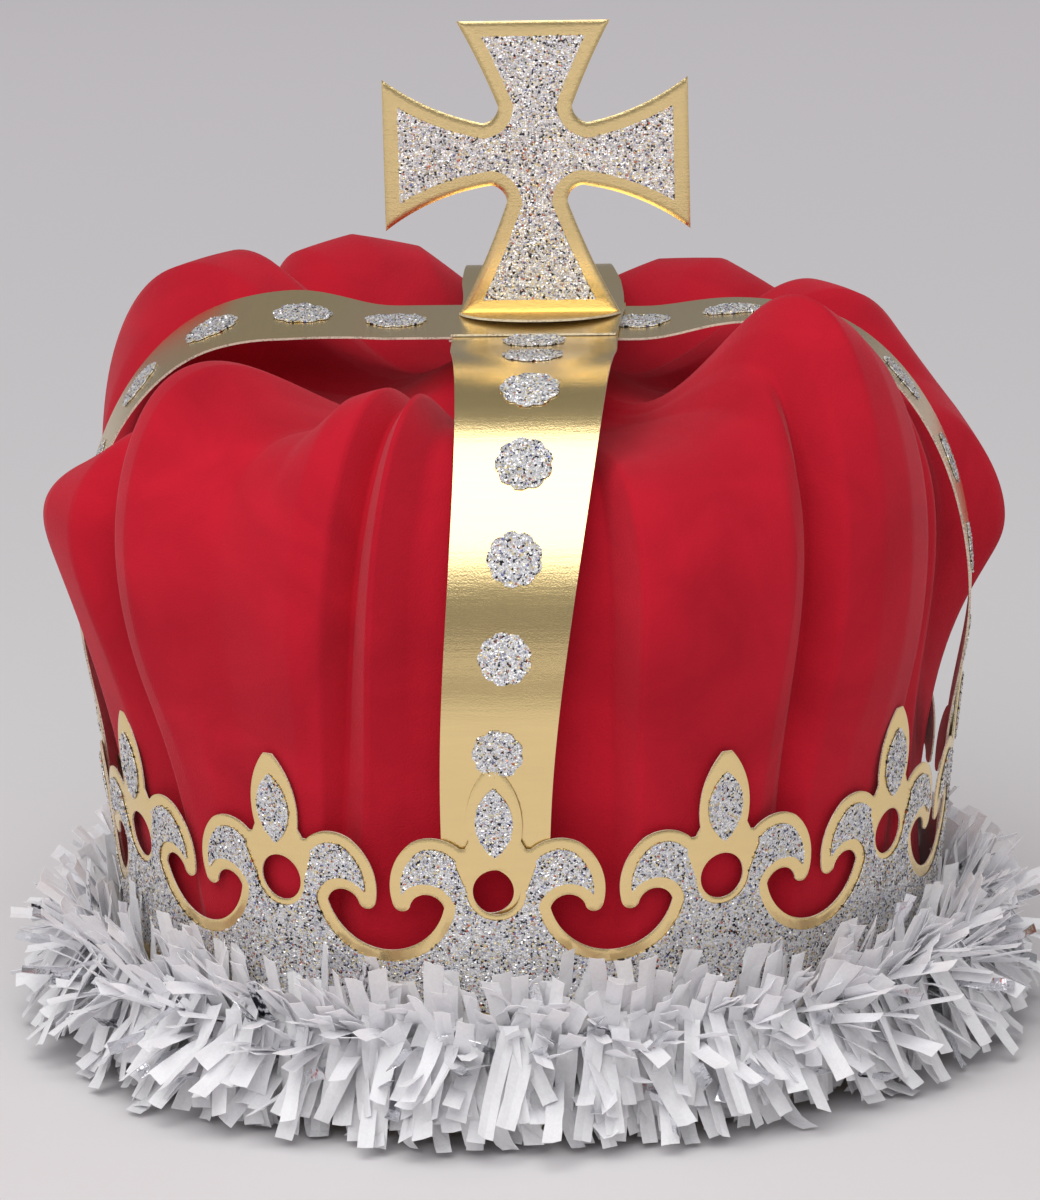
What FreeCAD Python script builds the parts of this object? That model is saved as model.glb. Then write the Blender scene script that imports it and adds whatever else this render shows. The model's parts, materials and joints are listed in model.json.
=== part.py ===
import FreeCAD, Part
import math
import os
import random

from FreeCAD import Rotation, Vector

# Dressing-up crown of gold foil card, with a gathered red cloth cap and a tissue garland.
# Millimetres, +Z up. It stands on Z = 0 with its axis on the Z axis and its front at -Y.
# Azimuths are in degrees, from the front towards +X.

# Every driving dimension, as alias, value and meaning
SIZES = (
    ("band_foot_radius", 89.9, "outer radius of the card band at the table"),
    ("band_flare", 0.1256, "how much the band's radius grows for each mm of height"),
    ("card_thickness", 0.6, "thickness of the foil card"),
    ("scallop_height", 41.2, "lowest point of the cut-out between two fleurs"),
    ("fleur_height", 43.2, "rise of a fleur's tip above the scallop"),
    ("fleur_count", 12, "fleurs round the band"),
    ("fleur_tip_width", 0.8, "small flat at a fleur's tip"),
    ("hole_diameter", 10.4, "hole punched through each fleur"),
    ("hole_rise", 14.4, "centre of that hole above the scallop"),
    ("lap_width", 16, "width of the glue tab that closes the band"),
    ("glitter_thickness", 0.25, "depth of the glitter crust"),
    ("glitter_lift", 0.12, "clearance between the glitter crust and its card"),
    ("gold_margin", 2.6, "bare gold left along the band's cut edge"),
    ("hole_margin", 1.3, "bare gold left round each punched hole"),
    ("collar_width", 17.6, "width of the bare gold above a hole"),
    ("collar_rise", 6.1, "height of that width above the hole's centre"),
    ("almond_rise", 8.1, "lower end of a petal's glitter above the hole's centre"),
    ("almond_length", 16, "height of a petal's glitter"),
    ("almond_width", 8.2, "width of a petal's glitter"),
    ("glitter_foot", 27.5, "lower edge of the glitter on the band"),
    ("strap_thickness", 0.5, "thickness of the card straps"),
    ("strap_foot_width", 22.3, "width of a strap at its foot"),
    ("strap_top_width", 37, "width of a strap at the cross"),
    ("strap_taper_length", 185, "length over which a strap widens"),
    ("strap_foot_height", 20, "lower end of a strap above the table"),
    ("strap_gap", 0.2, "clearance between a strap and the band"),
    ("strap_reach", 101.7, "greatest radius of a strap's inner face"),
    ("strap_reach_height", 102, "height of that greatest radius"),
    ("strap_top_height", 163.3, "height of a strap's inner face on top"),
    ("shoulder_width", 44, "radial width of the strap's elliptical shoulder"),
    ("strap_lap", 22, "how far a strap runs on past the middle"),
    ("lap_clearance", 0.15, "clearance between lapped straps"),
    ("front_lean", 8, "sideways lean of the front strap at its shoulder"),
    ("left_twist", -7, "twist of the left strap, in degrees"),
    ("right_twist", -3, "twist of the right strap, in degrees"),
    ("dot_diameter", 11.2, "lowest glitter dot on a strap"),
    ("top_dot_diameter", 14.2, "glitter dot on a strap at the cross"),
    ("dot_lobes", 9, "scallops round a glitter dot"),
    ("dot_pitch", 21.3, "spacing of the dots along a strap"),
    ("first_dot", 68.5, "first dot above a strap's foot, along the strap"),
    ("cross_offset", 5.2, "cross to the right of the axis"),
    ("cross_span", 69, "width over the cross's side arms"),
    ("cross_height", 67, "height of the cross above its foot"),
    ("cross_rise", 36.7, "middle of the cross above its foot"),
    ("cross_arm", 34.6, "width of the side and top arms at their ends"),
    ("cross_foot_width", 36.8, "width of the lower arm at its end"),
    ("cross_waist", 16.6, "narrowest width of the top arm"),
    ("cross_margin", 3.4, "bare gold round the cross's glitter"),
    ("foot_depth", 15, "depth of the tab folded out at the cross's foot"),
    ("foot_lift", 4, "lift of that tab's free edge, in degrees"),
    ("cloth_thickness", 1.2, "thickness of the cap's cloth"),
    ("hem_height", 22, "lower edge of the cap above the table"),
    ("hem_gap", 0.4, "clearance between the cap and the straps inside the band"),
    ("bulge_radius", 101, "radius of the cap's wall at its widest, before the folds"),
    ("bulge_height", 118, "height of the cap's widest part"),
    ("crest_radius", 80, "radius at which the cap turns over to its top"),
    ("sink_radius", 44, "radius of the hollow inside the crest"),
    ("sink_height", 141, "height of the hollow inside the crest"),
    ("button_radius", 13, "flat middle of the cap under the cross"),
    ("button_height", 154, "height of that flat middle"),
    ("core_radius", 2, "radius of the garland's twisted cord"),
    ("core_height", 17, "height of the cord above the table"),
    ("core_gap", 0.3, "clearance between the cord and the band"),
    ("strip_gap", 0.1, "clearance between a strip's end and the cord"),
    ("fan_count", 96, "fans of strips round the garland"),
    ("strip_length", 25, "greatest length of a garland strip"),
    ("strip_width", 3, "width of a tissue strip"),
    ("strip_thickness", 0.25, "thickness of a strip with its crumples"),
    ("foil_width", 2.2, "width of a foil strip"),
)

os.makedirs("parts", exist_ok=True)
doc = FreeCAD.newDocument("crown")
sheet = doc.addObject("Spreadsheet::Sheet", "Sizes")
for row, (alias, value, meaning) in enumerate(SIZES, start=1):
    sheet.set("A%d" % row, alias)
    sheet.set("B%d" % row, str(value))
    sheet.set("C%d" % row, meaning)
    sheet.setAlias("B%d" % row, alias)
doc.recompute()


def size(alias):
    """One driving dimension, read from the sheet."""
    return float(sheet.get(alias))


PITCH = 360.0 / size("fleur_count")
TIP_HEIGHT = size("scallop_height") + size("fleur_height")
HOLE_HEIGHT = size("scallop_height") + size("hole_rise")
# A strap rises behind every quarter's fleur
QUARTERS = [PITCH * round(size("fleur_count") * quarter / 4.0) for quarter in range(4)]
FRONT, RIGHT, BACK, LEFT = QUARTERS
# A cutter before the band reaches through it
CUTTER_DEPTH = "0.4 * Sizes.band_foot_radius"


def band_radius(height):
    """Outer radius of the band at a height."""
    return size("band_foot_radius") + size("band_flare") * height


def polar(azimuth, radius, height):
    angle = math.radians(azimuth)
    return Vector(radius * math.sin(angle), -radius * math.cos(angle), height)


def add_shape(name, shape):
    """A document object for a shape that is worked out here from the sheet."""
    feature = doc.addObject("Part::Feature", name)
    feature.Shape = shape
    return feature


def turned(shape, azimuth):
    copy = shape.copy()
    copy.rotate(Vector(0, 0, 0), Vector(0, 0, 1), azimuth)
    return copy


def arc(start, middle, end):
    return Part.Arc(start, middle, end).toShape()


def line(start, end):
    return Part.LineSegment(start, end).toShape()


def cut(name, base, tool):
    result = doc.addObject("Part::Cut", name)
    result.Base = base
    result.Tool = tool
    return result


def extrude(name, base, direction, length):
    """Straight extrusion of a flat shape, with its length bound to the sheet."""
    result = doc.addObject("Part::Extrusion", name)
    result.Base = base
    result.DirMode = "Custom"
    result.Dir = direction
    result.Solid = True
    result.setExpression("LengthFwd", length)
    return result


def ease(knots, x):
    """Value at x of a curve that eases from each (x, value) knot to the next."""
    if x <= knots[0][0]:
        return knots[0][1]
    for (x0, y0), (x1, y1) in zip(knots, knots[1:]):
        if x <= x1:
            share = (x - x0) / (x1 - x0)
            return y0 + (y1 - y0) * share * share * (3.0 - 2.0 * share)
    return knots[-1][1]


# Band: a flared ring of card, die-cut into fleurs

def cone(name, offset, low, high):
    """Solid cone frustum at an offset from the band's outer face, between two heights."""
    result = doc.addObject("Part::Cone", name)
    radius = "Sizes.band_foot_radius + (%s) + Sizes.band_flare * (%s)"
    result.setExpression("Radius1", radius % (offset, low))
    result.setExpression("Radius2", radius % (offset, high))
    result.setExpression("Height", "(%s) - (%s)" % (high, low))
    result.setExpression("Placement.Base.z", low)
    return result


def cone_shell(name, inner, outer, low, high):
    """Flared ring between two offsets from the band's outer face."""
    outside = cone(name + "_outside", outer, low, high)
    inside = cone(name + "_inside", inner, low, high)
    return cut(name, outside, inside)


def gap_outline():
    """Face of the cut-out between two fleurs, drawn flat in front of the band.

    Each corner is a share of half a fleur's pitch to the side, and a share of the
    fleur's height above the scallop.
    """
    radius = band_radius(size("scallop_height") + size("fleur_height") / 2.0)
    half_pitch = math.radians(PITCH / 2.0) * radius

    def point(side, across, up):
        sweep = across * half_pitch / radius
        height = size("scallop_height") + up * size("fleur_height")
        return Vector(side * radius * math.sin(sweep), -0.85 * radius, height)

    tip = 1.0 - size("fleur_tip_width") / 2.0 / half_pitch
    left, right = [
        {
            "above": point(side, tip, 1.05),
            "tip": point(side, tip, 1.0),
            "petal": point(side, 0.825, 0.85),
            "petal_foot": point(side, 0.784, 0.607),
            "notch": point(side, 0.742, 0.562),
            "shoulder_foot": point(side, 0.701, 0.560),
            "shoulder_rise": point(side, 0.517, 0.615),
            "shoulder": point(side, 0.277, 0.588),
            "curl_side": point(side, 0.112, 0.466),
            "curl": point(side, 0.080, 0.254),
            "curl_tip": point(side, 0.167, 0.216),
            "hook": point(side, 0.226, 0.238),
            "hook_top": point(side, 0.400, 0.312),
            "scallop_end": point(side, 0.532, 0.245),
        }
        for side in (-1.0, 1.0)
    ]
    bottom = point(1.0, 0.0, 0.0)

    def fleur_side(p):
        return [
            line(p["above"], p["tip"]),
            arc(p["tip"], p["petal"], p["petal_foot"]),
            line(p["petal_foot"], p["notch"]),
            line(p["notch"], p["shoulder_foot"]),
            arc(p["shoulder_foot"], p["shoulder_rise"], p["shoulder"]),
            arc(p["shoulder"], p["curl_side"], p["curl"]),
            arc(p["curl"], p["curl_tip"], p["hook"]),
            arc(p["hook"], p["hook_top"], p["scallop_end"]),
        ]

    edges = fleur_side(left) + fleur_side(right)
    edges.append(arc(left["scallop_end"], bottom, right["scallop_end"]))
    edges.append(line(left["above"], right["above"]))
    return Part.Face(Part.Wire(Part.__sortEdges__(edges)))


def around(name, tool, first):
    """One fused tool of a cutter repeated at every fleur's pitch."""
    copies = [turned(tool.Shape, first + PITCH * n) for n in range(int(size("fleur_count")))]
    return add_shape(name, copies[0].multiFuse(copies[1:]))


def fleur_cutters(name, margins):
    """Cutters for the gaps and the holes, grown by the named margins if there are any."""
    outline = gap_outline()
    if margins:
        outline = outline.makeOffset2D(size(margins[0]))
    gap = extrude(name + "_gap", add_shape(name + "_outline", outline), Vector(0, -1, 0),
                  CUTTER_DEPTH)
    hole = doc.addObject("Part::Cylinder", name + "_hole")
    grown = " + Sizes." + margins[1] if margins else ""
    hole.setExpression("Radius", "Sizes.hole_diameter / 2" + grown)
    hole.setExpression("Height", CUTTER_DEPTH)
    hole.Placement.Rotation = Rotation(Vector(1, 0, 0), 90)
    hole.setExpression("Placement.Base.y", "-0.8 * Sizes.band_foot_radius")
    hole.setExpression("Placement.Base.z", "Sizes.scallop_height + Sizes.hole_rise")
    doc.recompute()
    return around(name + "_gaps", gap, PITCH / 2.0), around(name + "_holes", hole, 0.0)


def before_hole(across, up):
    """Point before the front fleur, from the centre of its hole."""
    return Vector(across, -0.85 * size("band_foot_radius"), HOLE_HEIGHT + up)


def bare_collar():
    """Face of the bare gold from a hole's middle up to the fleur's tip."""
    foot = size("hole_diameter") / 2.0 + size("hole_margin")
    half = size("collar_width") / 2.0
    rise = size("collar_rise")
    half_outline = [(foot, 0.0), (half, rise), (half, size("fleur_height"))]
    corners = [before_hole(across, up) for across, up in half_outline]
    corners += [before_hole(-across, up) for across, up in half_outline[::-1]]
    return Part.Face(Part.makePolygon(corners + corners[:1]))


def petal_almond():
    """Face of the pointed glitter field in a fleur's upper petal."""
    foot = before_hole(0.0, size("almond_rise"))
    tip = before_hole(0.0, size("almond_rise") + size("almond_length"))
    middle = size("almond_rise") + size("almond_length") / 2.0
    half = size("almond_width") / 2.0
    right = arc(foot, before_hole(half, middle), tip)
    left = arc(tip, before_hole(-half, middle), foot)
    return Part.Face(Part.Wire([right, left]))


def fleur_tools(name, face):
    """One tool for every fleur, pushed through the band from a face before the front one."""
    prism = extrude(name + "_prism", add_shape(name + "_face", face), Vector(0, -1, 0), CUTTER_DEPTH)
    doc.recompute()
    return around(name, prism, 0.0)


def lap_tab():
    """Glue tab inside the band at the back, under one of the scallops."""
    ring = cone_shell("lap_ring", "-2 * Sizes.card_thickness", "-Sizes.card_thickness",
                      "0", "Sizes.scallop_height - 3")
    window = doc.addObject("Part::Box", "lap_window")
    window.setExpression("Length", "Sizes.lap_width")
    window.setExpression("Width", "Sizes.band_foot_radius * 2")
    window.setExpression("Height", "Sizes.scallop_height")
    doc.recompute()
    side = window.Shape.copy()
    side.translate(Vector(-size("lap_width") / 2.0, 0, 0))
    side = turned(side, PITCH / 2.0)
    tab = doc.addObject("Part::Common", "lap_tab")
    tab.Base = ring
    tab.Tool = add_shape("lap_side", side)
    return tab


TIP = "(Sizes.scallop_height + Sizes.fleur_height)"
blank = cone_shell("band_blank", "-Sizes.card_thickness", "0", "0", TIP)
gaps, holes = fleur_cutters("band_cut", ())
die_cut = cut("band_die_cut", blank, gaps)
punched = cut("band_punched", die_cut, holes)
crown_band = doc.addObject("Part::Fuse", "crown_band")
crown_band.Base = punched
crown_band.Tool = lap_tab()

crust = cone_shell("glitter_blank", "Sizes.glitter_lift",
                   "Sizes.glitter_lift + Sizes.glitter_thickness", "Sizes.glitter_foot", TIP)
gaps, holes = fleur_cutters("glitter_cut", ("gold_margin", "hole_margin"))
fields = cut("glitter_holes", cut("glitter_die_cut", crust, gaps), holes)
fields = cut("glitter_fields", fields, fleur_tools("bare_collars", bare_collar()))
almonds = doc.addObject("Part::Common", "glitter_almonds")
almonds.Base = crust
almonds.Tool = fleur_tools("petal_almonds", petal_almond())
band_glitter = doc.addObject("Part::Fuse", "band_glitter")
band_glitter.Base = fields
band_glitter.Tool = almonds


# Straps: tapered card strips that rise inside the band and lap under the cross

def strap_radius(height):
    """Distance from the axis to the inner face of a strap that lies flat inside the band."""
    bow = size("strap_foot_width") ** 2 / (8.0 * size("band_foot_radius"))
    layers = size("card_thickness") + size("strap_gap") + size("strap_thickness")
    return band_radius(height) - layers - bow


def strap_line(sag):
    """Inner face of a strap, as one smooth edge in the XZ plane from its lapped end down."""
    top = size("strap_top_height")
    reach = size("strap_reach")
    shoulder = size("shoulder_width")
    drop = top - size("strap_reach_height")
    flat = reach - shoulder
    lapped = [-0.4, -0.3, -0.2, -0.1, 0.0, 0.1, 0.2, 0.3, 0.4, 0.45, 0.5]
    points = [Vector(share * flat, 0, top - sag) for share in lapped]
    points.append(Vector(0.8 * flat, 0, top + 0.5))
    for degrees in (6, 20, 35, 50, 65, 80, 95):
        angle = math.radians(degrees)
        out = flat + shoulder * math.sin(angle)
        points.append(Vector(out, 0, size("strap_reach_height") + drop * math.cos(angle)))
    for height in (HOLE_HEIGHT + 15, HOLE_HEIGHT, size("strap_foot_height")):
        points.append(Vector(strap_radius(height), 0, height))
    spline = Part.BSplineCurve()
    spline.interpolate(points)
    return spline.toShape()


# Sections along a strap's loft
STRAP_STEPS = 48


class Strap:
    """Shape of one strap: where it stands, and how it sags, leans and twists."""

    def __init__(self, azimuth, level, lap, lean, twist):
        step = size("strap_thickness") + size("lap_clearance")
        self.azimuth = azimuth
        self.edge = strap_line(step * level)
        self.lean = lean
        self.twist = twist
        self.length = self.edge.Length
        # The line starts beyond the middle: skip what is past the lapped end
        self.middle = 0.4 * (size("strap_reach") - size("shoulder_width"))
        self.start = self.middle - lap

    def place(self, run):
        """Point, side direction and outward direction at a run from the lapped end."""
        parameter = self.edge.getParameterByLength(run)
        tangent = self.edge.tangentAt(parameter)
        point = self.edge.valueAt(parameter)
        turn = Rotation(Vector(0, 0, 1), self.azimuth - 90)
        along = turn.multVec(tangent)
        side = turn.multVec(Vector(0, 1, 0))
        out = side.cross(along) * -1.0
        climbed = (self.length - run) / (self.length - self.middle)
        roll = Rotation(along, ease(self.twist, climbed))
        base = turn.multVec(point) + side * ease(self.lean, climbed)
        return base, roll.multVec(side), roll.multVec(out)

    def half_width(self, run):
        taper = ((self.length - run) / size("strap_taper_length")) ** 1.75
        foot = size("strap_foot_width")
        return min(foot + (size("strap_top_width") - foot) * taper, size("strap_top_width")) / 2.0

    def solid(self, low, high):
        """Loft of the strap between two distances from its inner face."""
        wires = []
        for n in range(STRAP_STEPS + 1):
            run = self.start + (self.length - self.start) * n / STRAP_STEPS
            base, side, out = self.place(run)
            half = self.half_width(run)
            corners = [
                base - side * half + out * low,
                base + side * half + out * low,
                base + side * half + out * high,
                base - side * half + out * high,
            ]
            wires.append(Part.makePolygon(corners + corners[:1]))
        return Part.makeLoft(wires, True, False)

    def dot(self, run, radius):
        """Prism through the strap, with a scalloped round outline."""
        base, side, out = self.place(run)
        along = side.cross(out)
        lobes = int(size("dot_lobes"))
        # The strap bends less than this away from the dot's own plane
        depth = out * radius / 2.0

        def rim(step, reach):
            angle = 2.0 * math.pi * step / lobes
            return base - depth + (side * math.cos(angle) + along * math.sin(angle)) * reach

        arcs = [arc(rim(n, 0.9 * radius), rim(n + 0.5, radius), rim(n + 1, 0.9 * radius))
                for n in range(lobes)]
        return Part.Face(Part.Wire(arcs)).extrude(depth * 2.0)

    def dots(self):
        """The glitter dots that lie clear of the band and of the lapped middle."""
        low = size("strap_thickness") + size("glitter_lift")
        layer = self.solid(low, low + size("glitter_thickness"))
        clear = self.start + size("strap_lap") + size("strap_top_width") / 2.0
        first = size("first_dot")
        climb = first
        prisms = []
        while self.length - climb > clear:
            share = (climb - first) / (self.length - clear - first)
            growth = share * (size("top_dot_diameter") - size("dot_diameter"))
            prisms.append(self.dot(self.length - climb, (size("dot_diameter") + growth) / 2.0))
            climb += size("dot_pitch")
        return Part.makeCompound([layer.common(prism) for prism in prisms])


def strap_feature(name, strap):
    """A strap with the hole punched behind its fleur's hole."""
    blank_strap = add_shape(name + "_blank", strap.solid(0.0, size("strap_thickness")))
    punch = doc.addObject("Part::Cylinder", name + "_punch")
    punch.setExpression("Radius", "Sizes.hole_diameter / 2")
    punch.setExpression("Height", CUTTER_DEPTH)
    turn = Rotation(Vector(0, 0, 1), strap.azimuth)
    offset = turn.multVec(Vector(-1.5, -0.8 * size("band_foot_radius"), HOLE_HEIGHT))
    punch.Placement = FreeCAD.Placement(offset, turn.multiply(Rotation(Vector(1, 0, 0), 90)))
    return cut(name, blank_strap, punch)


# Each lean in mm and twist in degrees, against the share of the climb from foot to middle
STRAIGHT = ((0.0, 0.0), (1.0, 0.0))
front_lean = ((0.18, 0.0), (0.66, size("front_lean")), (0.98, size("cross_offset")))
back_lean = ((0.66, 0.0), (0.98, -size("cross_offset")))
left_twist = ((0.15, 0.0), (0.5, size("left_twist")), (0.76, size("left_twist")), (0.86, 0.0))
right_twist = ((0.4, 0.0), (0.74, size("right_twist")), (0.86, 0.0))
STRAPS = {
    "right": Strap(RIGHT, 3.0, 14.0, STRAIGHT, right_twist),
    "left": Strap(LEFT, 2.0, 14.0, STRAIGHT, left_twist),
    "front": Strap(FRONT, 1.0, 16.0, front_lean, STRAIGHT),
    "back": Strap(BACK, 0.0, size("strap_lap"), back_lean, STRAIGHT),
}
straps = [strap_feature(name + "_strap", strap) for name, strap in STRAPS.items()]
strap_dots = [add_shape(name + "_dots", strap.dots()) for name, strap in STRAPS.items()]


# Cross: two die-cut card layers back to back, each with a tab folded out at the foot

def cross_outline(y):
    """Face of the cross in the plane at y."""
    middle = Vector(size("cross_offset"), y, cross_foot() + size("cross_rise"))
    span = size("cross_span") / 2.0
    arm = size("cross_arm") / 2.0
    waist = size("cross_waist") / 2.0
    top = size("cross_height") - size("cross_rise")
    foot = size("cross_rise")
    foot_half = size("cross_foot_width") / 2.0
    neck = 0.44 * arm

    def quarter(side, up, end_width, end_height, narrow):
        """Edges from the upright arm's end corner round to the side arm's end corner."""
        def point(across, height):
            return middle + Vector(side * across, 0, up * height)

        end = point(end_width, end_height)
        low = point(narrow, 1.42 * neck)
        turn = point(narrow + 0.18 * neck, 1.06 * neck)
        notch = point(narrow + 0.45 * neck, 0.93 * neck)
        flank = point((narrow + end_width) * 0.48, 0.36 * neck + 0.58 * end_height)
        wing = point(0.64 * span, 0.59 * arm)
        return [arc(end, flank, low), arc(low, turn, notch), arc(notch, wing, point(span, arm))]

    upper = [quarter(side, 1.0, arm, top, waist) for side in (-1.0, 1.0)]
    lower = [quarter(side, -1.0, foot_half, foot, 0.82 * waist) for side in (-1.0, 1.0)]
    edges = upper[0] + upper[1] + lower[0] + lower[1]
    for side in (-1.0, 1.0):
        edges.append(line(middle + Vector(side * span, 0, arm), middle + Vector(side * span, 0, -arm)))
    edges.append(line(middle + Vector(-arm, 0, top), middle + Vector(arm, 0, top)))
    edges.append(line(middle + Vector(-foot_half, 0, -foot), middle + Vector(foot_half, 0, -foot)))
    return Part.Face(Part.Wire(Part.__sortEdges__(edges)))


def cross_foot():
    """Height of the cross's foot, on top of the lapped straps."""
    return size("strap_top_height") + size("strap_thickness") + size("lap_clearance")


def cross_layer(name, side):
    """One layer of the cross, with its foot tab folded to that side."""
    face = extrude(name + "_card", add_shape(name + "_outline", cross_outline(0.0)),
                   Vector(0, side, 0), "Sizes.strap_thickness")
    half = size("cross_foot_width") / 2.0
    middle = Vector(size("cross_offset"), 0, cross_foot())
    start = middle - Vector(half, 0, 0)
    end = middle + Vector(half, 0, 0)
    rim = arc(start, middle + Vector(0, side * size("foot_depth"), 0), end)
    tab = Part.Face(Part.Wire([rim, line(end, start)]))
    tab.rotate(middle, Vector(1, 0, 0), side * size("foot_lift"))
    fold = extrude(name + "_tab", add_shape(name + "_segment", tab), Vector(0, 0, 1),
                   "Sizes.strap_thickness")
    layer = doc.addObject("Part::Fuse", name)
    layer.Base = face
    layer.Tool = fold
    return layer


cross_front = cross_layer("cross_front", -1.0)
cross_back = cross_layer("cross_back", 1.0)
field = cross_outline(-size("strap_thickness") - size("glitter_lift"))
field = field.makeOffset2D(-size("cross_margin"))
cross_glitter = extrude("cross_glitter", add_shape("cross_field", field), Vector(0, -1, 0),
                        "Sizes.glitter_thickness")


# Cap: gathered cloth, held in the band by its hem and puffed out between the straps

# Folds round the cap: azimuth, how far the wall stands proud there, and the crest's height
FOLDS = (
    (0, -9, 150), (7, -9, 149), (12, -8, 148), (16, -7, 145), (18.5, 6, 147), (24, 6, 147),
    (32, 5, 149), (40, 5, 154), (43, 1, 160), (45.5, -5, 163), (48, 5, 170), (53, 7, 178),
    (58, 7, 173), (64, 4, 167), (69, -4, 160), (73, -1, 156), (80, -8, 149), (85, -9, 147),
    (90, -9, 146), (97, -9, 146), (102, -3, 142), (107, 15, 139), (113, 15, 144), (121, 8, 161),
    (129, 4, 162), (135, -5, 152), (141, 4, 158), (150, 6, 163), (160, 3, 162), (167, -4, 158),
    (173, -9, 148), (180, -10, 147), (187, -9, 148), (194, -4, 158), (201, 2, 166), (212, 6, 170),
    (222, 4, 168), (228, -5, 161), (235, 7, 171), (246, 12, 170), (254, 4, 158), (260, -7, 148),
    (266, -9, 145), (273, -9, 143), (279, -8, 140), (285, 0, 139), (291, 12, 141), (299, 11, 149),
    (304, 0, 156), (307, 8, 164), (311, 10, 164), (317, 7, 157), (325, 4, 150), (332, 5, 153),
    (338, 6, 161), (342.5, 4, 163), (345.5, -5, 157), (348, 3, 162), (351.5, -6, 153),
)


def cap_net(inset):
    """Control net of the cap's surface, set in from its outer face.

    One row for each level, from the hem up and over to the middle, and one column
    for each fold.
    """
    wall = size("bulge_height")
    hem = size("hem_height")
    rows = []
    rim = [(hem, 0.0), (hem + 0.35 * (TIP_HEIGHT - hem), 0.25), (TIP_HEIGHT - 8.0, 0.55)]
    for height, share in rim:
        row = []
        for azimuth, proud, crest in FOLDS:
            radius = strap_radius(height) - size("hem_gap")
            row.append(polar(azimuth, radius + share * min(proud - 6, 0) - inset, height))
        rows.append(row)
    # Levels of the puffed part: radius, share of the fold, and height between wall and crest
    crest_radius = size("crest_radius")
    bulge = size("bulge_radius")
    levels = (
        (bulge - 2.0, 0.8, -0.45), (bulge, 1.0, 0.0), (bulge - 1.0, 1.0, 0.40),
        (bulge - 7.0, 0.9, 0.78), (crest_radius + 6.0, 0.6, 1.0), (crest_radius - 8.0, 0.3, 1.02),
    )
    for radius, share, rise in levels:
        row = []
        for azimuth, proud, crest in FOLDS:
            height = wall + (crest - wall) * rise
            row.append(polar(azimuth, radius + share * proud - inset * (1.0 - max(rise, 0) ** 2),
                             height - inset * max(rise, 0) ** 2))
        rows.append(row)
    sink = size("sink_radius")
    button = size("button_height")
    for radius, low, share in ((sink + 8.0, size("sink_height") + 4.0, 0.5),
                               (sink - 12.0, size("sink_height"), 0.1),
                               (size("button_radius") + 6.0, button - 3.0, 0.0),
                               (size("button_radius"), button, 0.0)):
        rows.append([polar(azimuth, radius, low + (crest - low) * share * 0.6 - inset)
                     for azimuth, proud, crest in FOLDS])
    return rows


def cap_face(inset):
    """Smooth closed surface over the control net."""
    rows = cap_net(inset)
    columns = len(FOLDS)
    degree = 3
    inner_knots = len(rows) - degree
    surface = Part.BSplineSurface()
    surface.buildFromPolesMultsKnots(
        [list(column) for column in zip(*rows)],
        [1] * (columns + 1), [degree + 1] + [1] * (inner_knots - 1) + [degree + 1],
        [float(n) for n in range(columns + 1)], [float(n) for n in range(inner_knots + 1)],
        True, False, degree, degree)
    return surface.toShape()


def end_loops(face):
    """The lower and the upper closed edge of a cap surface."""
    loops = [edge for edge in face.Edges if edge.isClosed() and not edge.isSeam(face)]
    return sorted(loops, key=lambda edge: edge.BoundBox.ZMin)


def cap_shell():
    outer = cap_face(0.0)
    inner = cap_face(size("cloth_thickness"))
    outer_hem, outer_top = end_loops(outer)
    inner_hem, inner_top = end_loops(inner)
    hem = Part.makeFace([Part.Wire([outer_hem]), Part.Wire([inner_hem])],
                        "Part::FaceMakerBullseye")
    shell = Part.makeShell([outer, inner, hem, Part.Face(Part.Wire([outer_top])),
                            Part.Face(Part.Wire([inner_top]))])
    shell.sewShape()
    solid = Part.makeSolid(shell)
    if solid.Volume < 0:
        solid.reverse()
    return solid


velvet_cap = add_shape("velvet_cap", cap_shell())


# Garland: fans of thin strips held by a cord, lying round the foot of the band

garland_cord = doc.addObject("Part::Torus", "garland_cord")
garland_cord.setExpression(
    "Radius1", "Sizes.band_foot_radius + Sizes.band_flare * Sizes.core_height"
    " + Sizes.core_gap + Sizes.core_radius")
garland_cord.setExpression("Radius2", "Sizes.core_radius")
garland_cord.setExpression("Placement.Base.z", "Sizes.core_height")
CORD_RADIUS = band_radius(size("core_height")) + size("core_gap") + size("core_radius")


def strip(azimuth, rise, bend, length, width):
    """Thin strip that starts at the cord, rises at an angle and bends half way."""
    thick = size("strip_thickness")
    first = math.radians(rise)
    second = math.radians(rise + bend)
    start = size("core_radius") + size("strip_gap")
    joints = [
        (CORD_RADIUS + start * math.cos(first), size("core_height") + start * math.sin(first)),
    ]
    for angle in (first, second):
        out, up = joints[-1]
        reach = length / 2.0
        joints.append((out + reach * math.cos(angle), up + reach * math.sin(angle)))
    outline = []
    for half in (thick / 2.0, -thick / 2.0):
        side = [
            Vector(0, half * math.sin(angle) - out, up + half * math.cos(angle))
            for (out, up), angle in zip(joints, (first, (first + second) / 2.0, second))
        ]
        outline.extend(side if half > 0 else side[::-1])
    face = Part.Face(Part.makePolygon(outline + outline[:1]))
    face.translate(Vector(-width / 2.0, 0, 0))
    return turned(face.extrude(Vector(width, 0, 0)), azimuth)


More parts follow.
